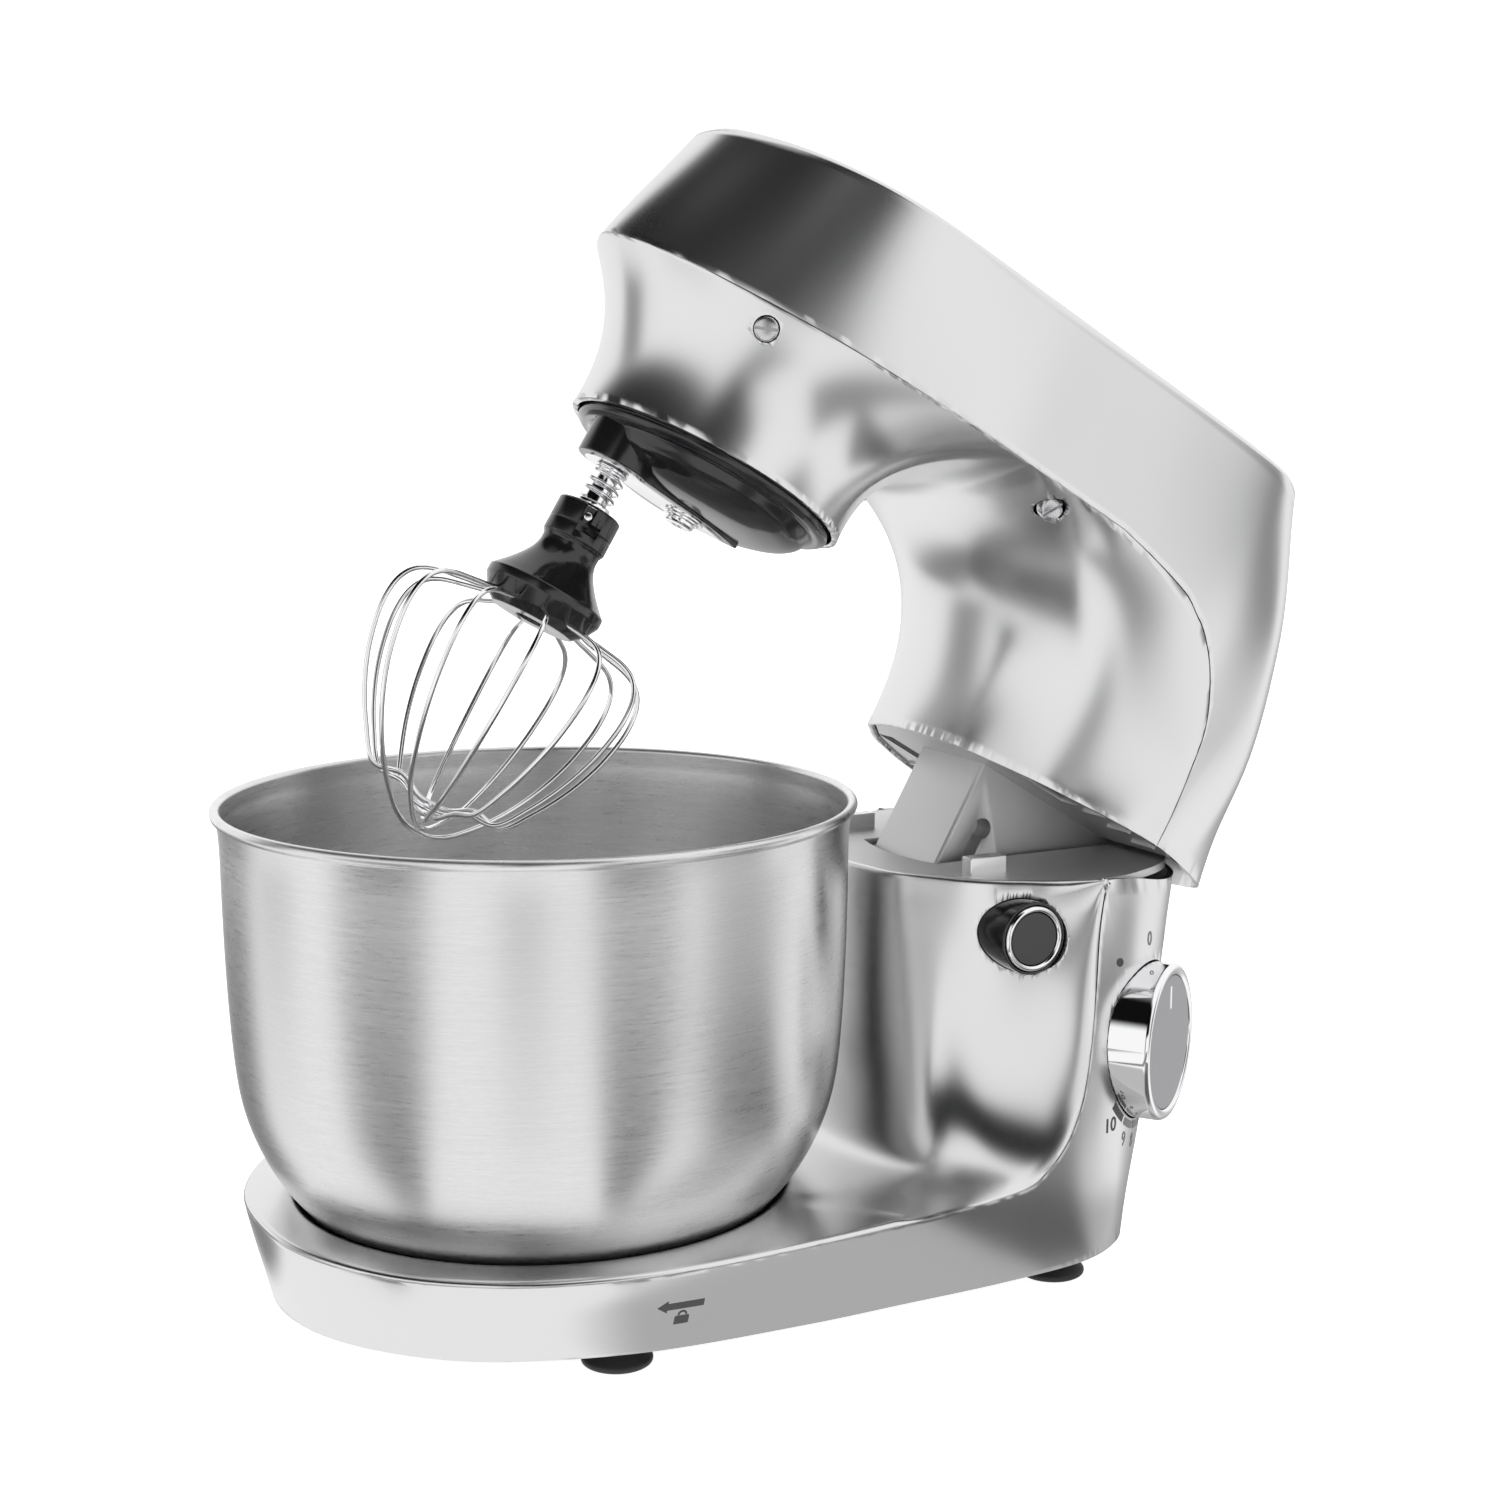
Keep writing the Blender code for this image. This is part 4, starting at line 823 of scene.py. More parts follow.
def make_button():
    place = BASE_PLACE @ Matrix.Translation(BUTTON_SPOT) @ Matrix.Rotation(math.pi / 2, 4, "X")
    sleeve = rounded(
        [(0.0130, -0.020), (0.0130, 0.0010), (0.0141, 0.0010), (0.0141, -0.020), (0.0130, -0.020)], 0.0004
    )
    turned("button_sleeve", sleeve, 128, BLACK, "base", place, ("button_bezel",))
    ring = rounded(
        [
            (0.0105, -0.008), (0.0105, 0.0016), (0.0116, 0.0022), (0.0127, 0.0014),
            (0.0127, -0.008), (0.0105, -0.008),
        ],
        0.0009,
        6,
    )
    turned("button_trim", ring, 128, CHROME, "button", place, ("button_ring",))
    face = rounded([(0, -0.008), (0.0102, -0.008), (0.0102, 0.0014), (0, 0.0016)], 0.0005)
    turned("button_face", face, 96, DARK, "button", place, ("button_cap",))


def make_dial():
    barrel = rounded(
        [
            (0, -0.0024), (0.0266, -0.0024), (0.0266, -0.0002), (0.0275, 0.0004),
            (0.0290, 0.0006), (0.0303, 0.0001),
            (DIAL_R, -0.0012), (DIAL_R, -0.0260), (0.0292, -0.0260), (0.0292, -0.0045), (0.0044, -0.0045),
            (0.0044, -0.0300), (0, -0.0300),
        ],
        0.0006,
        5,
    )
    turned("dial_knob", barrel, 160, CHROME, "dial", DIAL_PLACE, ("dial_barrel",))
    disc = rounded(
        [(0, -0.0021), (0.0264, -0.0021), (0.0264, -0.0004), (0.0258, -0.0002), (0, -0.0002)], 0.0003
    )
    turned("dial_disc", disc, 128, GREY, "dial", DIAL_PLACE, ("dial_face",))
    pointer = extruded("dial_pointer", rectangle(-0.0009, 0.0009, 0.0135, 0.0225), -0.0004, 0.0000, 0.0001)
    add("dial_pointer", pointer, WHITE, "dial", DIAL_PLACE)


# The head


def head_stations():
    start = HEAD_WALL.angle_at(HEAD_RISE[0][0], 0.2515)
    count = 18 * FINER
    angles = HEAD_WALL.angles_between(0, start, HEAD_SEAM_Z, count)
    nose = np.clip(1 - np.linspace(0, 4, count), 0, 1) ** 2
    front = [(a, 0.2517 + 0.0023 * n) for a, n in zip(angles, nose)]
    rise = rise_stations(HEAD_WALL, HEAD_RISE, 12 * FINER)
    rear = [(a, NECK_Z) for a in HEAD_WALL.angles_between(rise[-1][0], math.pi, NECK_Z, 9 * FINER)]
    return front, rise[1:], rear[1:]


def make_head_cover():
    front, rise, rear = head_stations()
    angles, heights = np.array(front + rise + rear).T
    crown_angles = angles.copy()
    for _ in range(30 * FINER * FINER):
        crown_angles[1:-1] = (crown_angles[:-2] + crown_angles[2:]) / 2
    shares = np.linspace(0, 1, 24)
    rows = []
    for share in shares:
        ease = eased(share)
        levels = heights + share * (CROWN_Z - 0.0025 - heights)
        rows.append(HEAD_WALL.points(angles + (crown_angles - angles) * ease, levels))
    edge = HEAD_WALL.points(crown_angles, CROWN_Z)
    for t in np.linspace(0.25, math.pi / 2, 6):
        row = inwards(edge, 0.0025 * (1 - math.cos(t)) + 0.00002)
        row[:, 2] = CROWN_Z - 0.0002 - 0.0025 * (1 - math.sin(t))
        rows.append(row)
    flat = rows[-1]
    for share in (0.5, 1.0):
        rows.append(flat * (1, 1 - share, 1))
    surface = Surface()
    surface.strip(rows)
    cover = add("cover_shell", surface.mesh("cover_shell", (0.080, 0, 0.200)), SILVER, "head", HEAD_PLACE)
    rim(cover, WALL, 0.00045)
    return cover


def make_head_housing():
    front, rise, _ = head_stations()
    edge = np.array([HEAD_WALL.points(a, z) for a, z in front + rise])
    count = len(front)
    slope = -np.gradient(edge[:, 2]) / np.linalg.norm(np.gradient(edge, axis=0), axis=1)
    lean = np.zeros(len(edge))
    lean[count - 1 :] = np.clip(slope[count - 1 :], 0, 1)
    lean = fair(lean, 12)
    edge[:, 2] -= SEAM
    edge[:, 0] -= SEAM * np.clip((np.arange(len(edge)) - count) / FINER, 0, 1)
    split = int(np.argmin(np.abs(edge[:count, 0] - 0.078)))
    valley = valley_curve(edge[split], (0.079, 0, THROAT_Z), THROAT_Z, 7 * FINER)
    surface = Surface()
    ring = np.vstack([edge[: split + 1], valley[1:]])
    surface.strip(boss_rows(ring, split))
    foot = np.vstack([valley[::-1], edge[split + 1 :]])
    end = matched_outline(NECK_END, len(valley), len(foot), 0.137, NECK_Z)
    end[-1] = foot[-1]
    surface.strip(neck_rows(end, foot, len(valley), lean[split:]))
    data = surface.mesh("housing_shell", (0.080, 0, 0.300))
    relax(data, 200, neck_share)
    housing = add("housing_shell", data, SILVER, "head", HEAD_PLACE)
    solidify(housing)
    bake(housing)
    for number, turn in enumerate(screw_places(), 1):
        turn = dropped_on(housing, turn)
        make_side_screw(number, turn)
        cut(housing, plug(0.0049, -0.012, 0.010, 64), HEAD_PLACE @ turn)
    rim(housing, 0, 0.0004)
    return housing


def neck_share(x, y, z):
    """How far a point of the housing may be evened out: only in the neck, clear of its lower end."""
    parts = ((x - 0.082) / 0.030, (z - NECK_Z - 0.003) / 0.004, (0.196 - x) / 0.020)
    return float(np.prod(np.clip(parts, 0, 1)))


def boss_rows(ring, split):
    """Rows from the hub's mouth up its round wall, flaring out to the head's edge."""
    angles = np.arctan2(ring[:, 1], -ring[:, 0])
    mix = fair(np.where(np.arange(len(ring)) <= split, 0.0, 1.0), 60)
    curves = []
    for outer, angle, side in zip(ring, angles, mix):
        ray = np.array([-math.cos(angle), math.sin(angle), 0])
        mouth = ray * MOUTH_R + (0, 0, MOUTH_Z)
        wall = ray * (MOUTH_R - 0.0025) + (0, 0, MOUTH_Z + 0.030)
        reach = np.linalg.norm(outer[:2]) - MOUTH_R
        bend = outer - ray * (0.45 + 0.10 * side) * reach - np.array([0, 0, 0.010 * (1 - side)])
        curves.append(bezier(mouth, wall, bend, outer, 8 * FINER))
    return list(np.array(curves).transpose(1, 0, 2))


def neck_rows(end, foot, front_count, lean):
    """Rows from the neck's lower edge up to the head's edge and the throat's roof."""
    curves = []
    for i, (low, high) in enumerate(zip(end, foot)):
        height = high[2] - low[2]
        level = (low - high) * (1, 1, 0)
        reach = np.linalg.norm(level)
        level = level / max(reach, 1e-9)
        side = max(0, i - front_count + 1)
        fall = eased(min(1, side / (8 * FINER)))
        tilt = lean[side]
        roof = level * 0.68 * reach - np.array([0, 0, 0.002])
        wall = np.array([0, 0, -0.42 * height]) + level * 0.06 * reach
        leave = roof * (1 - fall) + wall * fall
        grip = 0.62 * (1 - fall) + 0.35 * fall
        bow = 0.20 * (1 - fall) - 0.02 * fall
        rise = low + np.array([bow * reach * (1 - tilt), 0, height * grip])
        curves.append(bezier(low, rise, high + leave, high, 8 * FINER))
    return list(np.array(curves).transpose(1, 0, 2))


def screw_places():
    """The four side screws, each square to the head's wall."""
    for x, side in ((-0.031, -1), (0.0995, -1), (-0.031, 1), (0.0995, 1)):
        angle = HEAD_WALL.angle_at(x, HEAD_SEAM_Z)
        spot = HEAD_WALL.points(angle, HEAD_SEAM_Z)
        near = HEAD_WALL.points(angle + 0.02, HEAD_SEAM_Z) - HEAD_WALL.points(angle - 0.02, HEAD_SEAM_Z)
        normal = Vector((-near[1], near[0], 0)).normalized()
        facing = Vector((normal.x, normal.y * side, -0.25)).normalized()
        origin = Vector((spot[0], spot[1] * side, 0.2425)) + facing * 0.0002
        yield Matrix.Translation(origin) @ facing.to_track_quat("Z", "Y").to_matrix().to_4x4()


def dropped_on(housing, turn):
    """The place again, moved along its own axis onto the housing's wall."""
    start = HEAD_PLACE @ turn
    origin = start @ Vector((0, 0, 0.02))
    found, spot, _, _ = housing.ray_cast(origin, -(start.to_3x3() @ Vector((0, 0, 1))), distance=0.04)
    depth = (start.inverted() @ spot).z if found else 0.0
    return turn @ Matrix.Translation((0, 0, depth + 0.0001))


def make_side_screw(number, turn):
    profile = [(0, -0.004), (0.0046, -0.004), (0.0046, -0.0002), (0.0043, 0.0003)]
    over = np.linspace(0.2, math.pi / 2, 8)
    profile += [(0.0043 * math.cos(t), 0.0003 + 0.0008 * math.sin(t)) for t in over]
    place = HEAD_PLACE @ turn @ Matrix.Rotation(math.radians(20 if number in (1, 3) else 60), 4, "Z")
    screw = add(f"screw_head_{number}", turned_mesh("screw", profile, 64), STEEL, "head", place)
    slit = extruded("slit", rectangle(-0.0060, 0.0060, -0.00055, 0.00055), 0.0001, 0.004, 0)
    cut(screw, slit, place)
    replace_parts(screw, f"side_screw_{number}")


def arm_point(radius, angle):
    """A point of the tilt arm in side view, at this distance and angle from the hinge pin."""
    return 0.2335 + radius * math.cos(angle), 0.1287 + radius * math.sin(angle)


def make_arm():
    corners = [
        (0.1570, 0.1590), (0.1585, 0.1060), (0.175, 0.1000), (0.205, 0.0980), (0.2335, 0.1130),
        (0.246, 0.1185),
        (0.2495, 0.135), (0.2450, 0.1590),
    ]
    outline = rounded([*corners, corners[0]], 0.004, 5)[:-1]
    half_width = 0.0234
    upright = Matrix.Rotation(math.pi / 2, 4, "X")
    data = extruded("arm_lever", outline, -half_width, half_width, 0.0016)
    arm = add("arm_lever", data, MATT, "head", HEAD_PLACE @ upright, ("tilt_arm",))
    radius = 0.0633
    start = math.pi - math.radians(5.6) + OPEN_ANGLE
    angles = np.linspace(start, start - OPEN_ANGLE, 25)
    outer, inner = ([arm_point(radius + side * 0.0027, a) for a in angles] for side in (1, -1))
    cut(arm, extruded("slot", outer + inner[::-1], 0.014, 0.030, 0), HEAD_PLACE @ upright)
    for angle in (angles[0], angles[-1]):
        spot = circle(0.0043, 48, *arm_point(radius, angle))
        cut(arm, extruded("hole", spot, 0.0135, 0.030, 0), HEAD_PLACE @ upright)
    cut(arm, extruded("bore", circle(0.0043, 48, *arm_point(0, 0)), -0.04, 0.04, 0), HEAD_PLACE @ upright)
    rim(arm, 0, 0.0003)


def make_neck_floor():
    """The plate that closes the neck's lower end, a little inside its lip, with ribs under it."""
    line = evenly(half_outline(NECK_END, 30), 90)
    half = inwards(line, WALL + 0.0007)[:, :2]
    half[0][1] = 0
    half = np.vstack([half, [(0.221, 0.0768), (0.226, 0.073), (0.226, 0)]])
    hole = rectangle(0.1545, 0.184, 0.0445, 0.0560)
    other = rectangle(0.1545, 0.184, -0.0560, -0.0445)
    data = extruded("neck_floor", closed_ring(half), 0.1580, 0.1602, 0.0003, (hole, other))
    add("neck_floor", data, MATT, "head", HEAD_PLACE, ("neck_plate",))
    for side in (-1, 1):
        for number, x in enumerate((0.186, 0.200, 0.214), 1):
            inner, outer = sorted((side * 0.058, side * 0.072))
            name = f"neck_rib_{number + (3 if side > 0 else 0)}"
            rib = extruded(name, rectangle(x - 0.0008, x + 0.0008, inner, outer), 0.1566, 0.1584, 0.0002)
            add(name, rib, MATT, "head", HEAD_PLACE)


# The drive hub and the whisk

BAYONET_TURN = math.radians(65)
WIRE_R = 0.00098
WIRE_LOOPS = 6
PLANET_X = -0.0355
PLANET_Y = -0.0035
HUB_PLACE = HEAD_PLACE @ Matrix.Translation((0, 0, MOUTH_Z))
WHISK_PLACE = (
    HUB_PLACE
    @ Matrix.Translation((PLANET_X, PLANET_Y, 0))
    @ Matrix.Rotation(math.atan2(PLANET_Y, PLANET_X), 4, "Z")
)


def make_carrier():
    profile = rounded(
        [
            (0, 0.0066), (0.0485, 0.0066), (0.0485, 0.0015), (0.0530, 0.0010), (0.0530, -0.0024),
            (0.0505, -0.0040),
            (0.0480, -0.0040), (0.0472, -0.0046),
        ],
        0.0008,
    )
    dome = spline_points(
        [(0.0472, -0.0046), (0.0440, -0.0092), (0.037, -0.0129), (0.024, -0.0159), (0.0, -0.0172)], 10
    )
    profile = [*profile[:-1], *map(tuple, dome)]
    turned("carrier_dome", profile, 192, BLACK, "hub", HUB_PLACE, ("hub_carrier",))
    boss = 0.0148
    turn = np.linspace(math.radians(52), math.radians(308), 40)
    round_end = [(PLANET_X + boss * math.cos(a), PLANET_Y + boss * math.sin(a)) for a in turn]
    tip = (0.0265, 0.0)
    lower = spline_points([round_end[-1], (-0.0120, -0.0128), (0.003, -0.0110), (0.016, -0.0062), tip], 8)
    upper = spline_points([tip, (0.016, 0.0072), (0.003, 0.0118), (-0.0120, 0.0110), round_end[0]], 8)
    outline = [*round_end, *map(tuple, lower[1:-1]), tip, *map(tuple, upper[1:-1])]
    data = extruded("carrier_bridge", outline, -0.0176, -0.0010, 0.0009)
    add("carrier_bridge", data, BLACK, "hub", HUB_PLACE)
    strip = [(x * 0.86 - 0.0035, y * 0.80) for x, y in outline]
    hole = circle(0.0060, 48, PLANET_X, PLANET_Y)
    data = extruded("bridge_plate", strip, -0.0182, -0.0174, 0.0002, (hole,))
    add("bridge_plate", data, CHROME, "hub", HUB_PLACE, ("hub_bridge",))
    screw = [
        (0, -0.0175), (0.0088, -0.0175), (0.0088, -0.0188), (0.0072, -0.0188), (0.0072, -0.0198),
        (0.0060, -0.0198), (0.0060, -0.0212), (0.0052, -0.0220), (0.0022, -0.0222), (0.0022, -0.0208),
        (0, -0.0208),
    ]
    turned("bridge_screw", rounded(screw, 0.0003, 3), 96, CHROME, "hub", HUB_PLACE, ("hub_screw",))


def wire_along(name, points, radius, stands_for=()):
    """A round chrome wire of the true radius through these points, turning with the whisk."""
    data = bpy.data.curves.new(name, "CURVE")
    data.dimensions = "3D"
    data.bevel_depth = radius
    data.bevel_resolution = 4
    data.use_fill_caps = True
    line = data.splines.new("POLY")
    line.points.add(len(points) - 1)
    for spot, point in zip(line.points, points):
        spot.co = (*point, 1)
    line.use_smooth = True
    add(name, data, CHROME, "whisk", WHISK_PLACE, stands_for)


def make_whisk_shaft():
    shaft = rounded(
        [
            (0, 0.0205), (0.0040, 0.0205), (0.0040, -0.0186), (0.0064, -0.0186),
            (0.0064, -0.0196), (0.0058, -0.0198),
            (0.0058, -0.0206), (0.0042, -0.0206), (0.0042, -0.0262), (0.0046, -0.0266), (0.0046, -0.0326),
            (0.0066, -0.0330), (0.0066, -0.0346), (0.0040, -0.0346), (0.0040, -0.0560), (0, -0.0560),
        ],
        0.0003,
        3,
    )
    turned("whisk_shaft", shaft, 96, CHROME, "whisk", WHISK_PLACE, ("drive_shaft",))
    turns = 3
    coil = []
    for i in range(turns * 48 + 1):
        angle = 2 * math.pi * i / 48
        height = -0.0213 - 0.0104 * i / (turns * 48)
        coil.append((0.0062 * math.cos(angle), 0.0062 * math.sin(angle), height))
    wire_along("whisk_spring", coil, 0.0006, ("shaft_spring",))
    clip = [(0.0062 * math.cos(a), 0.0062 * math.sin(a), -0.0178) for a in np.linspace(0.5, 5.8, 40)]
    wire_along("shaft_clip", clip, 0.0005)


def make_whisk_hub():
    collar = rounded(
        [
            (0.0044, -0.0352), (0.0113, -0.0352), (0.0124, -0.0360), (0.0124, -0.0436), (0.0121, -0.0439),
            (0.0124, -0.0442), (0.0124, -0.0492), (0.0119, -0.0496), (0.0119, -0.0500), (0.0114, -0.0506),
        ],
        0.0003,
        3,
    )
    flare = spline_points(
        [
            (0.0114, -0.0506), (0.0115, -0.0540), (0.0130, -0.0580), (0.0165, -0.0630),
            (0.0210, -0.0680), (0.0230, -0.0700),
        ],
        6,
    )
    skirt = rounded(
        [
            (0.0230, -0.0700), (0.0232, -0.0706), (0.0232, -0.0734), (0.0200, -0.0790), (0.0162, -0.0822),
            (0.0060, -0.0822), (0.0060, -0.0580), (0.0044, -0.0580), (0.0044, -0.0352),
        ],
        0.0005,
        3,
    )
    profile = [*collar, *map(tuple, flare[1:]), *skirt[1:]]
    data = turned_mesh("whisk_collar", profile, 128)
    hub = add("whisk_collar", data, BLACK, "whisk", WHISK_PLACE, ("whisk_hub",))
    slot = extruded(
        "slot",
        [
            (-0.0024, -0.0345), (0.0018, -0.0345), (0.0018, -0.0420), (0.0062, -0.0420),
            (0.0062, -0.0462), (-0.0024, -0.0462),
        ],
        0.0050,
        0.0140,
        0,
    )
    out = Matrix(((0, 0, 1, 0), (1, 0, 0, 0), (0, 1, 0, 0), (0, 0, 0, 1)))
    facing = WHISK_PLACE @ Matrix.Rotation(BAYONET_TURN, 4, "Z")
    cut(hub, slot, facing @ out)
    rim(hub, 0, 0.00015)
    pin = rounded([(0, 0.003), (0.0017, 0.003), (0.0017, 0.0118), (0.0013, 0.0122), (0, 0.0122)], 0.0003)
    place = facing @ Matrix.Translation((0, -0.0002, -0.0400)) @ out
    turned("bayonet_pin", pin, 48, CHROME, "whisk", place)


def make_whisk_wires():
    """Each loop runs down one side, under the others at its own depth, and up the other side."""
    for number in range(WIRE_LOOPS):
        depth = 0.1700 - 0.0023 * number
        side = [
            (0.0165, 0.0765), (0.0215, 0.0790), (0.0300, 0.0805), (0.0400, 0.0825), (0.0462, 0.0858),
            (0.0497, 0.0915), (0.0508, 0.0990), (0.0500, 0.1080), (0.0470, 0.1200), (0.0420, 0.1320),
            (0.0350, 0.1440), (0.0262, 0.1550), (0.0150, depth - 0.0048), (0.0065, depth - 0.0006),
        ]
        line = spline_points([*side, (0.0, depth), (-0.0065, depth - 0.0006)], 8)
        half = [tuple(p) for p in line if p[0] > 0.0005]
        loop = [*half, (0, depth), *[(-r, s) for r, s in half[::-1]]]
        turn = math.pi * (number + 0.25) / WIRE_LOOPS
        points = [(r * math.cos(turn), r * math.sin(turn), -s) for r, s in loop]
        wire_along(f"wire_loop_{number + 1}", points, WIRE_R, (f"whisk_wire_{number + 1}",))


# The bowl

BOWL_OUTSIDE = mm(
    (117.6, 187.6), (116.6, 180), (116.5, 165), (116, 134), (114.5, 105), (112.8, 88), (110.5, 77),
    (105.3, 63), (98.5, 52), (95, 47.5), (91, 43.3), (86, 38.6), (80, 34), (72, 29.3), (62, 25.5),
    (50, 23.6),
)


def make_bowl():
    bead = [
        (0.1180 + 0.0019 * math.cos(a), 0.1900 + 0.0019 * math.sin(a))
        for a in np.linspace(math.pi, -math.pi / 2, 24)
    ]
    line = spline_points(BOWL_OUTSIDE, 6)
    line = np.column_stack([fair(line[:, 0], 20), fair(line[:, 1], 20)])
    outside = evenly(line, 90)
    along = np.gradient(outside, axis=0)
    along /= np.linalg.norm(along, axis=1)[:, None]
    inside = (outside - np.stack([-along[:, 1], along[:, 0]], -1) * 0.0009)[::-1]
    profile = [(0, 0.0240), *map(tuple, inside[:-1]), *bead, *map(tuple, outside), (0, 0.0231)]
    turned("bowl_vessel", profile, 256, BOWL_STEEL, "bowl", BASE_PLACE, ("bowl_shell",), angle=30)
    # The ring under the bowl's lower flank, reaching down into the base's recess, is black all over.
    ring = mm(
        (92.4, 43.9), (90.6, 40.6), (87.6, 36.6), (74, 19.5), (71, 19.5), (72.6, 24.2),
        (80.9, 32.3), (87.3, 37.9),
        (91.7, 43.1), (92.4, 43.9),
    )
    turned("bowl_skirt", rounded(ring, 0.0005, 3), 192, BLACK, "bowl", BASE_PLACE, ("bowl_foot_ring",))


# Printed marks, laid on the skirt's wall


def flat_mark(name, outline):
    return poured(filled([outline], 0), bpy.data.meshes.new(name))


def lay_on(skirt, name, data, place, finish):
    """Drops a flat mark straight onto the wall in front of it, and leaves it just proud."""
    form = bmesh.new()
    form.from_mesh(data)
    bmesh.ops.triangulate(form, faces=form.faces)
    for _ in range(3):
        long = [e for e in form.edges if e.calc_length() > 0.0015]
        if long:
            bmesh.ops.subdivide_edges(form, edges=long, cuts=1)
            bmesh.ops.triangulate(form, faces=form.faces)
    into = skirt.matrix_world.inverted()
    direction = (into.to_3x3() @ place.to_3x3() @ Vector((0, 0, -1))).normalized()
    for vert in form.verts:
        origin = into @ place @ Vector((vert.co.x, vert.co.y, 0.03))
        found, spot, normal, _ = skirt.ray_cast(origin, direction, distance=0.08)
        if found:
            if normal.dot(direction) > 0:
                normal = -normal
            vert.co = spot + normal * 0.00008
    bmesh.ops.recalc_face_normals(form, faces=form.faces)
    add(name, poured(form, data), finish, "base", skirt.matrix_world.copy())


def digit_mesh(text, size):
    letters = bpy.data.curves.new("letters", "FONT")
    letters.body = text
    letters.size = size
    letters.offset = size * 0.02
    letters.align_x = "CENTER"
    letters.align_y = "CENTER"
    holder = put_in("letters", letters)
    bpy.context.view_layer.update()
    graph = bpy.context.evaluated_depsgraph_get()
    data = bpy.data.meshes.new_from_object(holder.evaluated_get(graph), depsgraph=graph)
    bpy.data.objects.remove(holder)
    return data


def wall_frame(x, height):
    """A frame on the base's wall, on the dial's side: X along it, Y up and Z outwards."""
    angle = BASE_WALL.angle_at(x, height)
    spot = BASE_WALL.points(angle, height)
    near = BASE_WALL.points(angle + 0.02, height) - BASE_WALL.points(angle - 0.02, height)
    normal = Vector((-near[1], -near[0], 0)).normalized()
    across = Vector((0, 0, 1)).cross(normal)
    turn = Matrix((across, (0, 0, 1), normal)).transposed().to_4x4()
    return BASE_PLACE @ Matrix.Translation((spot[0], -spot[1], height)) @ turn


def make_lock_mark(skirt):
    """An arrow towards the nose over a plain padlock."""
    place = wall_frame(0.0065, 0.0268)
    arrow = [
        (-0.0088, 0.0), (-0.0050, 0.0026), (-0.0050, 0.0014), (0.0086, 0.0014), (0.0086, -0.0014),
        (-0.0050, -0.0014), (-0.0050, -0.0026),
    ]
    lift = Matrix.Translation((0, 0.0026, 0))
    lay_on(skirt, "lock_arrow", flat_mark("lock_arrow", arrow), place @ lift, PRINT)
    drop = Matrix.Translation((0.0010, -0.0034, 0)) @ Matrix.Scale(1.5, 4)
    box = rectangle(-0.0018, 0.0018, -0.0014, 0.0010)
    case = rounded([*box, box[0]], 0.0004)
    lay_on(skirt, "lock_case", flat_mark("lock_case", case[:-1]), place @ drop, PRINT)
    bow = [(0.0012 * math.cos(a), 0.0012 + 0.0013 * math.sin(a)) for a in np.linspace(0, math.pi, 16)]
    inside = [(0.0007 * math.cos(a), 0.0012 + 0.0008 * math.sin(a)) for a in np.linspace(math.pi, 0, 16)]
    lay_on(skirt, "lock_bow", flat_mark("lock_bow", [*bow, *inside]), place @ drop, PRINT)


def sector(inner, outer, start, end, count=12):
    angles = np.linspace(math.radians(start), math.radians(end), count)
    ring = [(outer * math.cos(a), outer * math.sin(a)) for a in angles]
    return ring + [(inner * math.cos(a), inner * math.sin(a)) for a in angles[::-1]]


def beside_dial(turn):
    """The place of a mark round the dial, at this angle in degrees from its right."""
    angle = math.radians(turn)
    return DIAL_PLACE @ Matrix.Translation((0.0405 * math.cos(angle), 0.0405 * math.sin(angle), 0))


def make_dial_marks(skirt):
    """Numbers from 0 to 10 and a dot round the dial, with an arc that darkens with the speed."""
    turns = (90, 62, 40, 18, -4, -26, -48, -70, -101, -117, -137)
    for number, turn in enumerate(turns):
        finish = PRINT_MID if number in (0, 8, 9) else PRINT
        lay_on(skirt, f"mark_{number}", digit_mesh(str(number), 0.0078), beside_dial(turn), finish)
    lay_on(skirt, "mark_pulse", flat_mark("mark_pulse", circle(0.0017, 24)), beside_dial(120), PRINT)
    shades = (PRINT, PRINT_MID, PRINT_MID, PRINT_PALE, PRINT_PALE)
    for number, finish in enumerate(shades):
        end = -127 + 20 * number
        data = flat_mark("speed_arc", sector(0.0325, 0.0355, end - 17, end))
        lay_on(skirt, f"speed_arc_{number + 1}", data, DIAL_PLACE, finish)


# The floor, the light and the camera


def level_sheet(name, side, height):
    corners = [(-side, -side, height), (side, -side, height), (side, side, height), (-side, side, height)]
    return put_in(name, mesh_of(name, corners, [(0, 1, 2, 3)]))


def make_floor():
    floor = level_sheet("studio_floor", 6.0, 0)
    finish = new_material("Pale floor", (1.0, 1.0, 1.0), 0.0, 1.0)
    shader = finish.node_tree.nodes["Principled BSDF"]
    shader.inputs["Emission Color"].default_value = (1, 1, 1, 1)
    shader.inputs["Emission Strength"].default_value = 0.9
    floor.data.materials.append(finish)
    floor.visible_glossy = False


def soft_step(tree, value, out, into):
    """0 at one value and 1 at the other, with a smooth change between them."""
    limits = {"Value": value, "From Min": out, "From Max": into}
    return node(tree, "MapRange", limits, interpolation_type="SMOOTHSTEP").outputs["Result"]


def soft_band(tree, aim, level, azimuth, half_width, softness, low, high, edge):
    """A soft panel in the surroundings: 1 inside its angle and its levels, and 0 well outside."""
    angle = math.radians(azimuth)
    middle = (math.cos(angle), math.sin(angle), 0)
    towards = node(tree, "VectorMath", {0: aim, 1: middle}, operation="DOT_PRODUCT").outputs["Value"]
    outer = math.cos(math.radians(half_width + softness))
    inner = math.cos(math.radians(max(0, half_width - softness)))
    band = soft_step(tree, towards, outer, inner)
    for limit, sign in ((low, 1), (high, -1)):
        side = soft_step(tree, level, limit - sign * edge, limit + sign * edge)
        band = math_step(tree, "MULTIPLY", band, side)
    return band


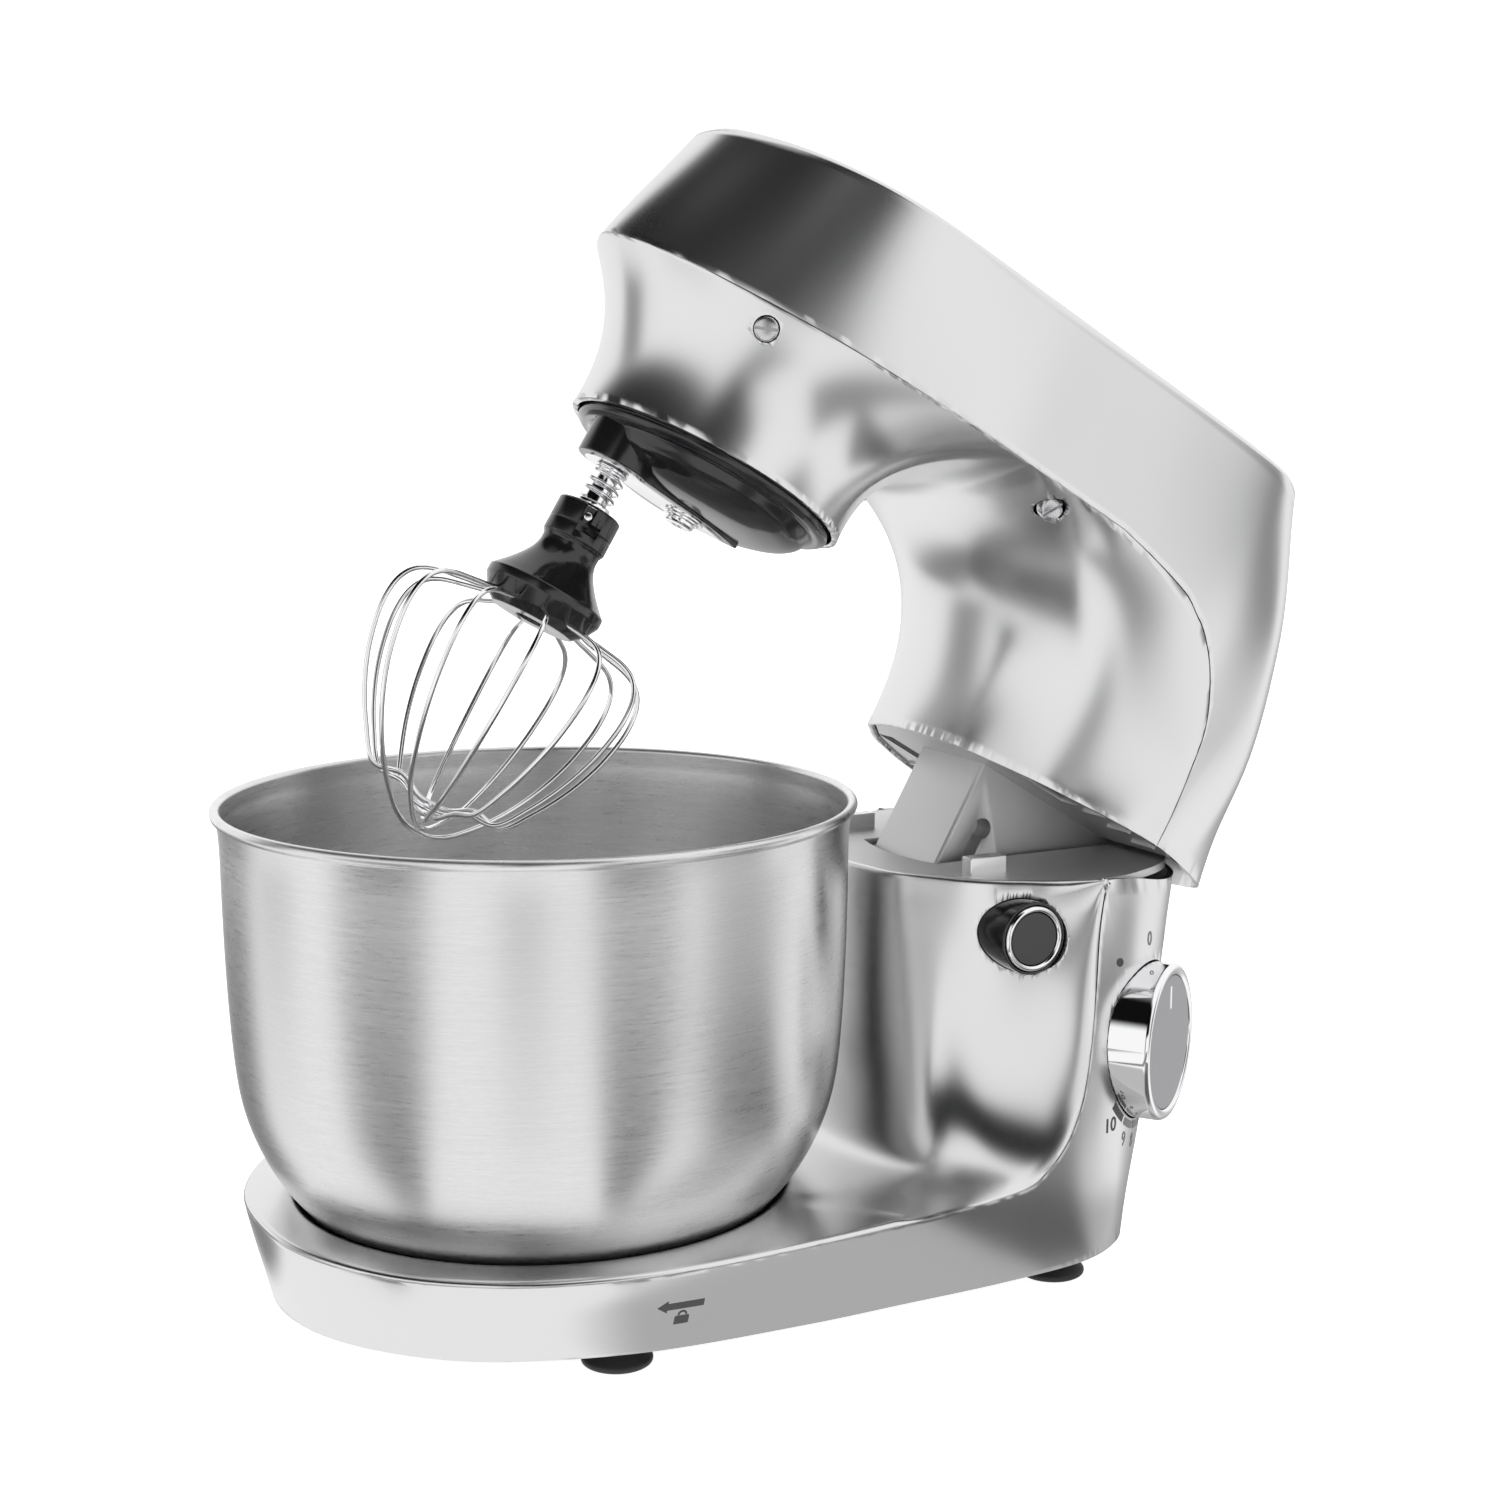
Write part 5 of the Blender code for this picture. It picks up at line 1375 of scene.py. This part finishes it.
def dimmed(tree, light, band, depth):
    """The light after a band has taken this share of it."""
    left = math_step(tree, "MULTIPLY_ADD", band, -depth, 1.0)
    return math_step(tree, "MULTIPLY", light, left)


def heading(tree, place, start=(0, 0)):
    """The level direction and the distance from a point on the floor, and the height, of a place."""
    parts = node(tree, "SeparateXYZ", {"Vector": place}).outputs
    level = {axis: math_step(tree, "SUBTRACT", parts[axis], offset) for axis, offset in zip("XY", start)}
    joined = node(tree, "CombineXYZ", level).outputs["Vector"]
    reach = node(tree, "VectorMath", {0: joined}, operation="LENGTH").outputs["Value"]
    aim = node(tree, "VectorMath", {0: joined}, operation="NORMALIZE").outputs["Vector"]
    return aim, reach, parts["Z"]


def mixed(tree, share, first, second, output):
    """Two shaders mixed by a share, sent to the material's or the world's output."""
    mix = node(tree, "MixShader", {0: share, 1: first, 2: second})
    node(tree, output, {"Surface": mix.outputs["Shader"]})


# Dark cloths on the floor, seen by the metal: starting point, azimuth, half width and softness in degrees,
# reach, share of the light taken
CLOTHS = (
    (-0.185, -0.068, -170, 15, 12, 1.1, 0.75),
    (-0.106, -0.114, -76, 12, 11, 1.1, 0.75),
    (-0.207, 0.015, 103, 16, 13, 1.1, 0.80),
    (0.100, -0.090, -70, 34, 12, 0.30, 0.80),
    (-0.140, -0.100, -14, 18, 8, 0.34, 0.50),
)


def make_cloths():
    """One sheet on the floor that only reflections see: clear, but for the dark cloths."""
    sheet = level_sheet("studio_cloths", 3.0, 0.0002)
    finish = bpy.data.materials.new("Dark cloths")
    finish.use_nodes = True
    tree = finish.node_tree
    tree.nodes.clear()
    spot = node(tree, "TexCoord").outputs["Object"]
    clear = 1.0
    for x, y, azimuth, half_width, softness, far, depth in CLOTHS:
        aim, reach, _ = heading(tree, spot, (x, y))
        band = soft_band(tree, aim, reach, azimuth, half_width, softness, 0.03, far, 0.02)
        clear = dimmed(tree, clear, band, depth)
    dark = node(tree, "Emission", {"Color": (0.02, 0.02, 0.02, 1)}).outputs["Emission"]
    mixed(tree, clear, dark, node(tree, "BsdfTransparent").outputs["BSDF"], "OutputMaterial")
    sheet.data.materials.append(finish)
    sheet.visible_camera = False
    sheet.visible_diffuse = False
    sheet.visible_shadow = False


# Soft dark panels round the studio: azimuth, half width, softness, lowest and highest elevation (all in
# degrees), softness in height, share of the light taken
PANELS = (
    (42, 22, 16, -85, -6, 0.15, 0.60),
    (-32, 14, 12, -12, 16, 0.10, 0.75),
    (-118, 4, 7, -9, 16, 0.10, 0.70),
    (142, 7, 8, -9, 30, 0.10, 0.75),
    (180, 76, 10, 31, 86, 0.10, 0.995),
    (-104, 20, 8, 15, 60, 0.06, 0.99),
)


def make_light():
    """A white studio with soft dark panels for the metal to show, and white behind the object."""
    sky = bpy.data.worlds.new("Studio")
    bpy.context.scene.world = sky
    sky.use_nodes = True
    tree = sky.node_tree
    tree.nodes.clear()
    aim, _, level = heading(tree, node(tree, "TexCoord").outputs["Generated"])
    light = 1.0
    for azimuth, half_width, softness, low, high, edge, depth in PANELS:
        floor, ceiling = math.sin(math.radians(low)), math.sin(math.radians(high))
        band = soft_band(tree, aim, level, azimuth, half_width, softness, floor, ceiling, edge)
        light = dimmed(tree, light, band, depth)
    shade = node(tree, "CombineColor", {"Red": light, "Green": light, "Blue": light}).outputs["Color"]
    room = node(tree, "Background", {"Color": shade, "Strength": 1.0}).outputs["Background"]
    white = node(tree, "Background", {"Color": (1, 1, 1, 1), "Strength": 1.2}).outputs["Background"]
    to_camera = node(tree, "LightPath").outputs["Is Camera Ray"]
    mixed(tree, to_camera, room, white, "OutputWorld")
    lamp = bpy.data.lights.new("key", "AREA")
    lamp.shape = "RECTANGLE"
    lamp.size = 1.4
    lamp.size_y = 1.0
    lamp.energy = 3.0
    key = put_in("key", lamp)
    key.location = (-0.6, -1.2, 2.2)
    key.visible_glossy = False
    key.rotation_euler = (Vector((0, 0, 0.2)) - key.location).to_track_quat("-Z", "Y").to_euler()
    bpy.context.scene.view_settings.view_transform = "Standard"


def make_camera():
    data = bpy.data.cameras.new("view")
    data.lens = 57.6
    data.sensor_width = 36.0
    view = put_in("view", data)
    view.location = (-0.4323, -0.8187, 0.3516)
    view.rotation_euler = (math.radians(80.84), 0, math.radians(-27.7))
    bpy.context.scene.camera = view


skirt = make_base_skirt()
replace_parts(skirt, "base_skirt")
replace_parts(make_base_top(), "base_top", "column_cap")
make_feet()
make_button()
make_dial()
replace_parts(make_head_cover(), "head_cover")
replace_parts(make_head_housing(), "head_housing")
make_arm()
make_neck_floor()
make_carrier()
make_whisk_shaft()
make_whisk_hub()
make_whisk_wires()
make_bowl()
make_lock_mark(skirt)
make_dial_marks(skirt)
make_floor()
make_cloths()
make_light()
make_camera()
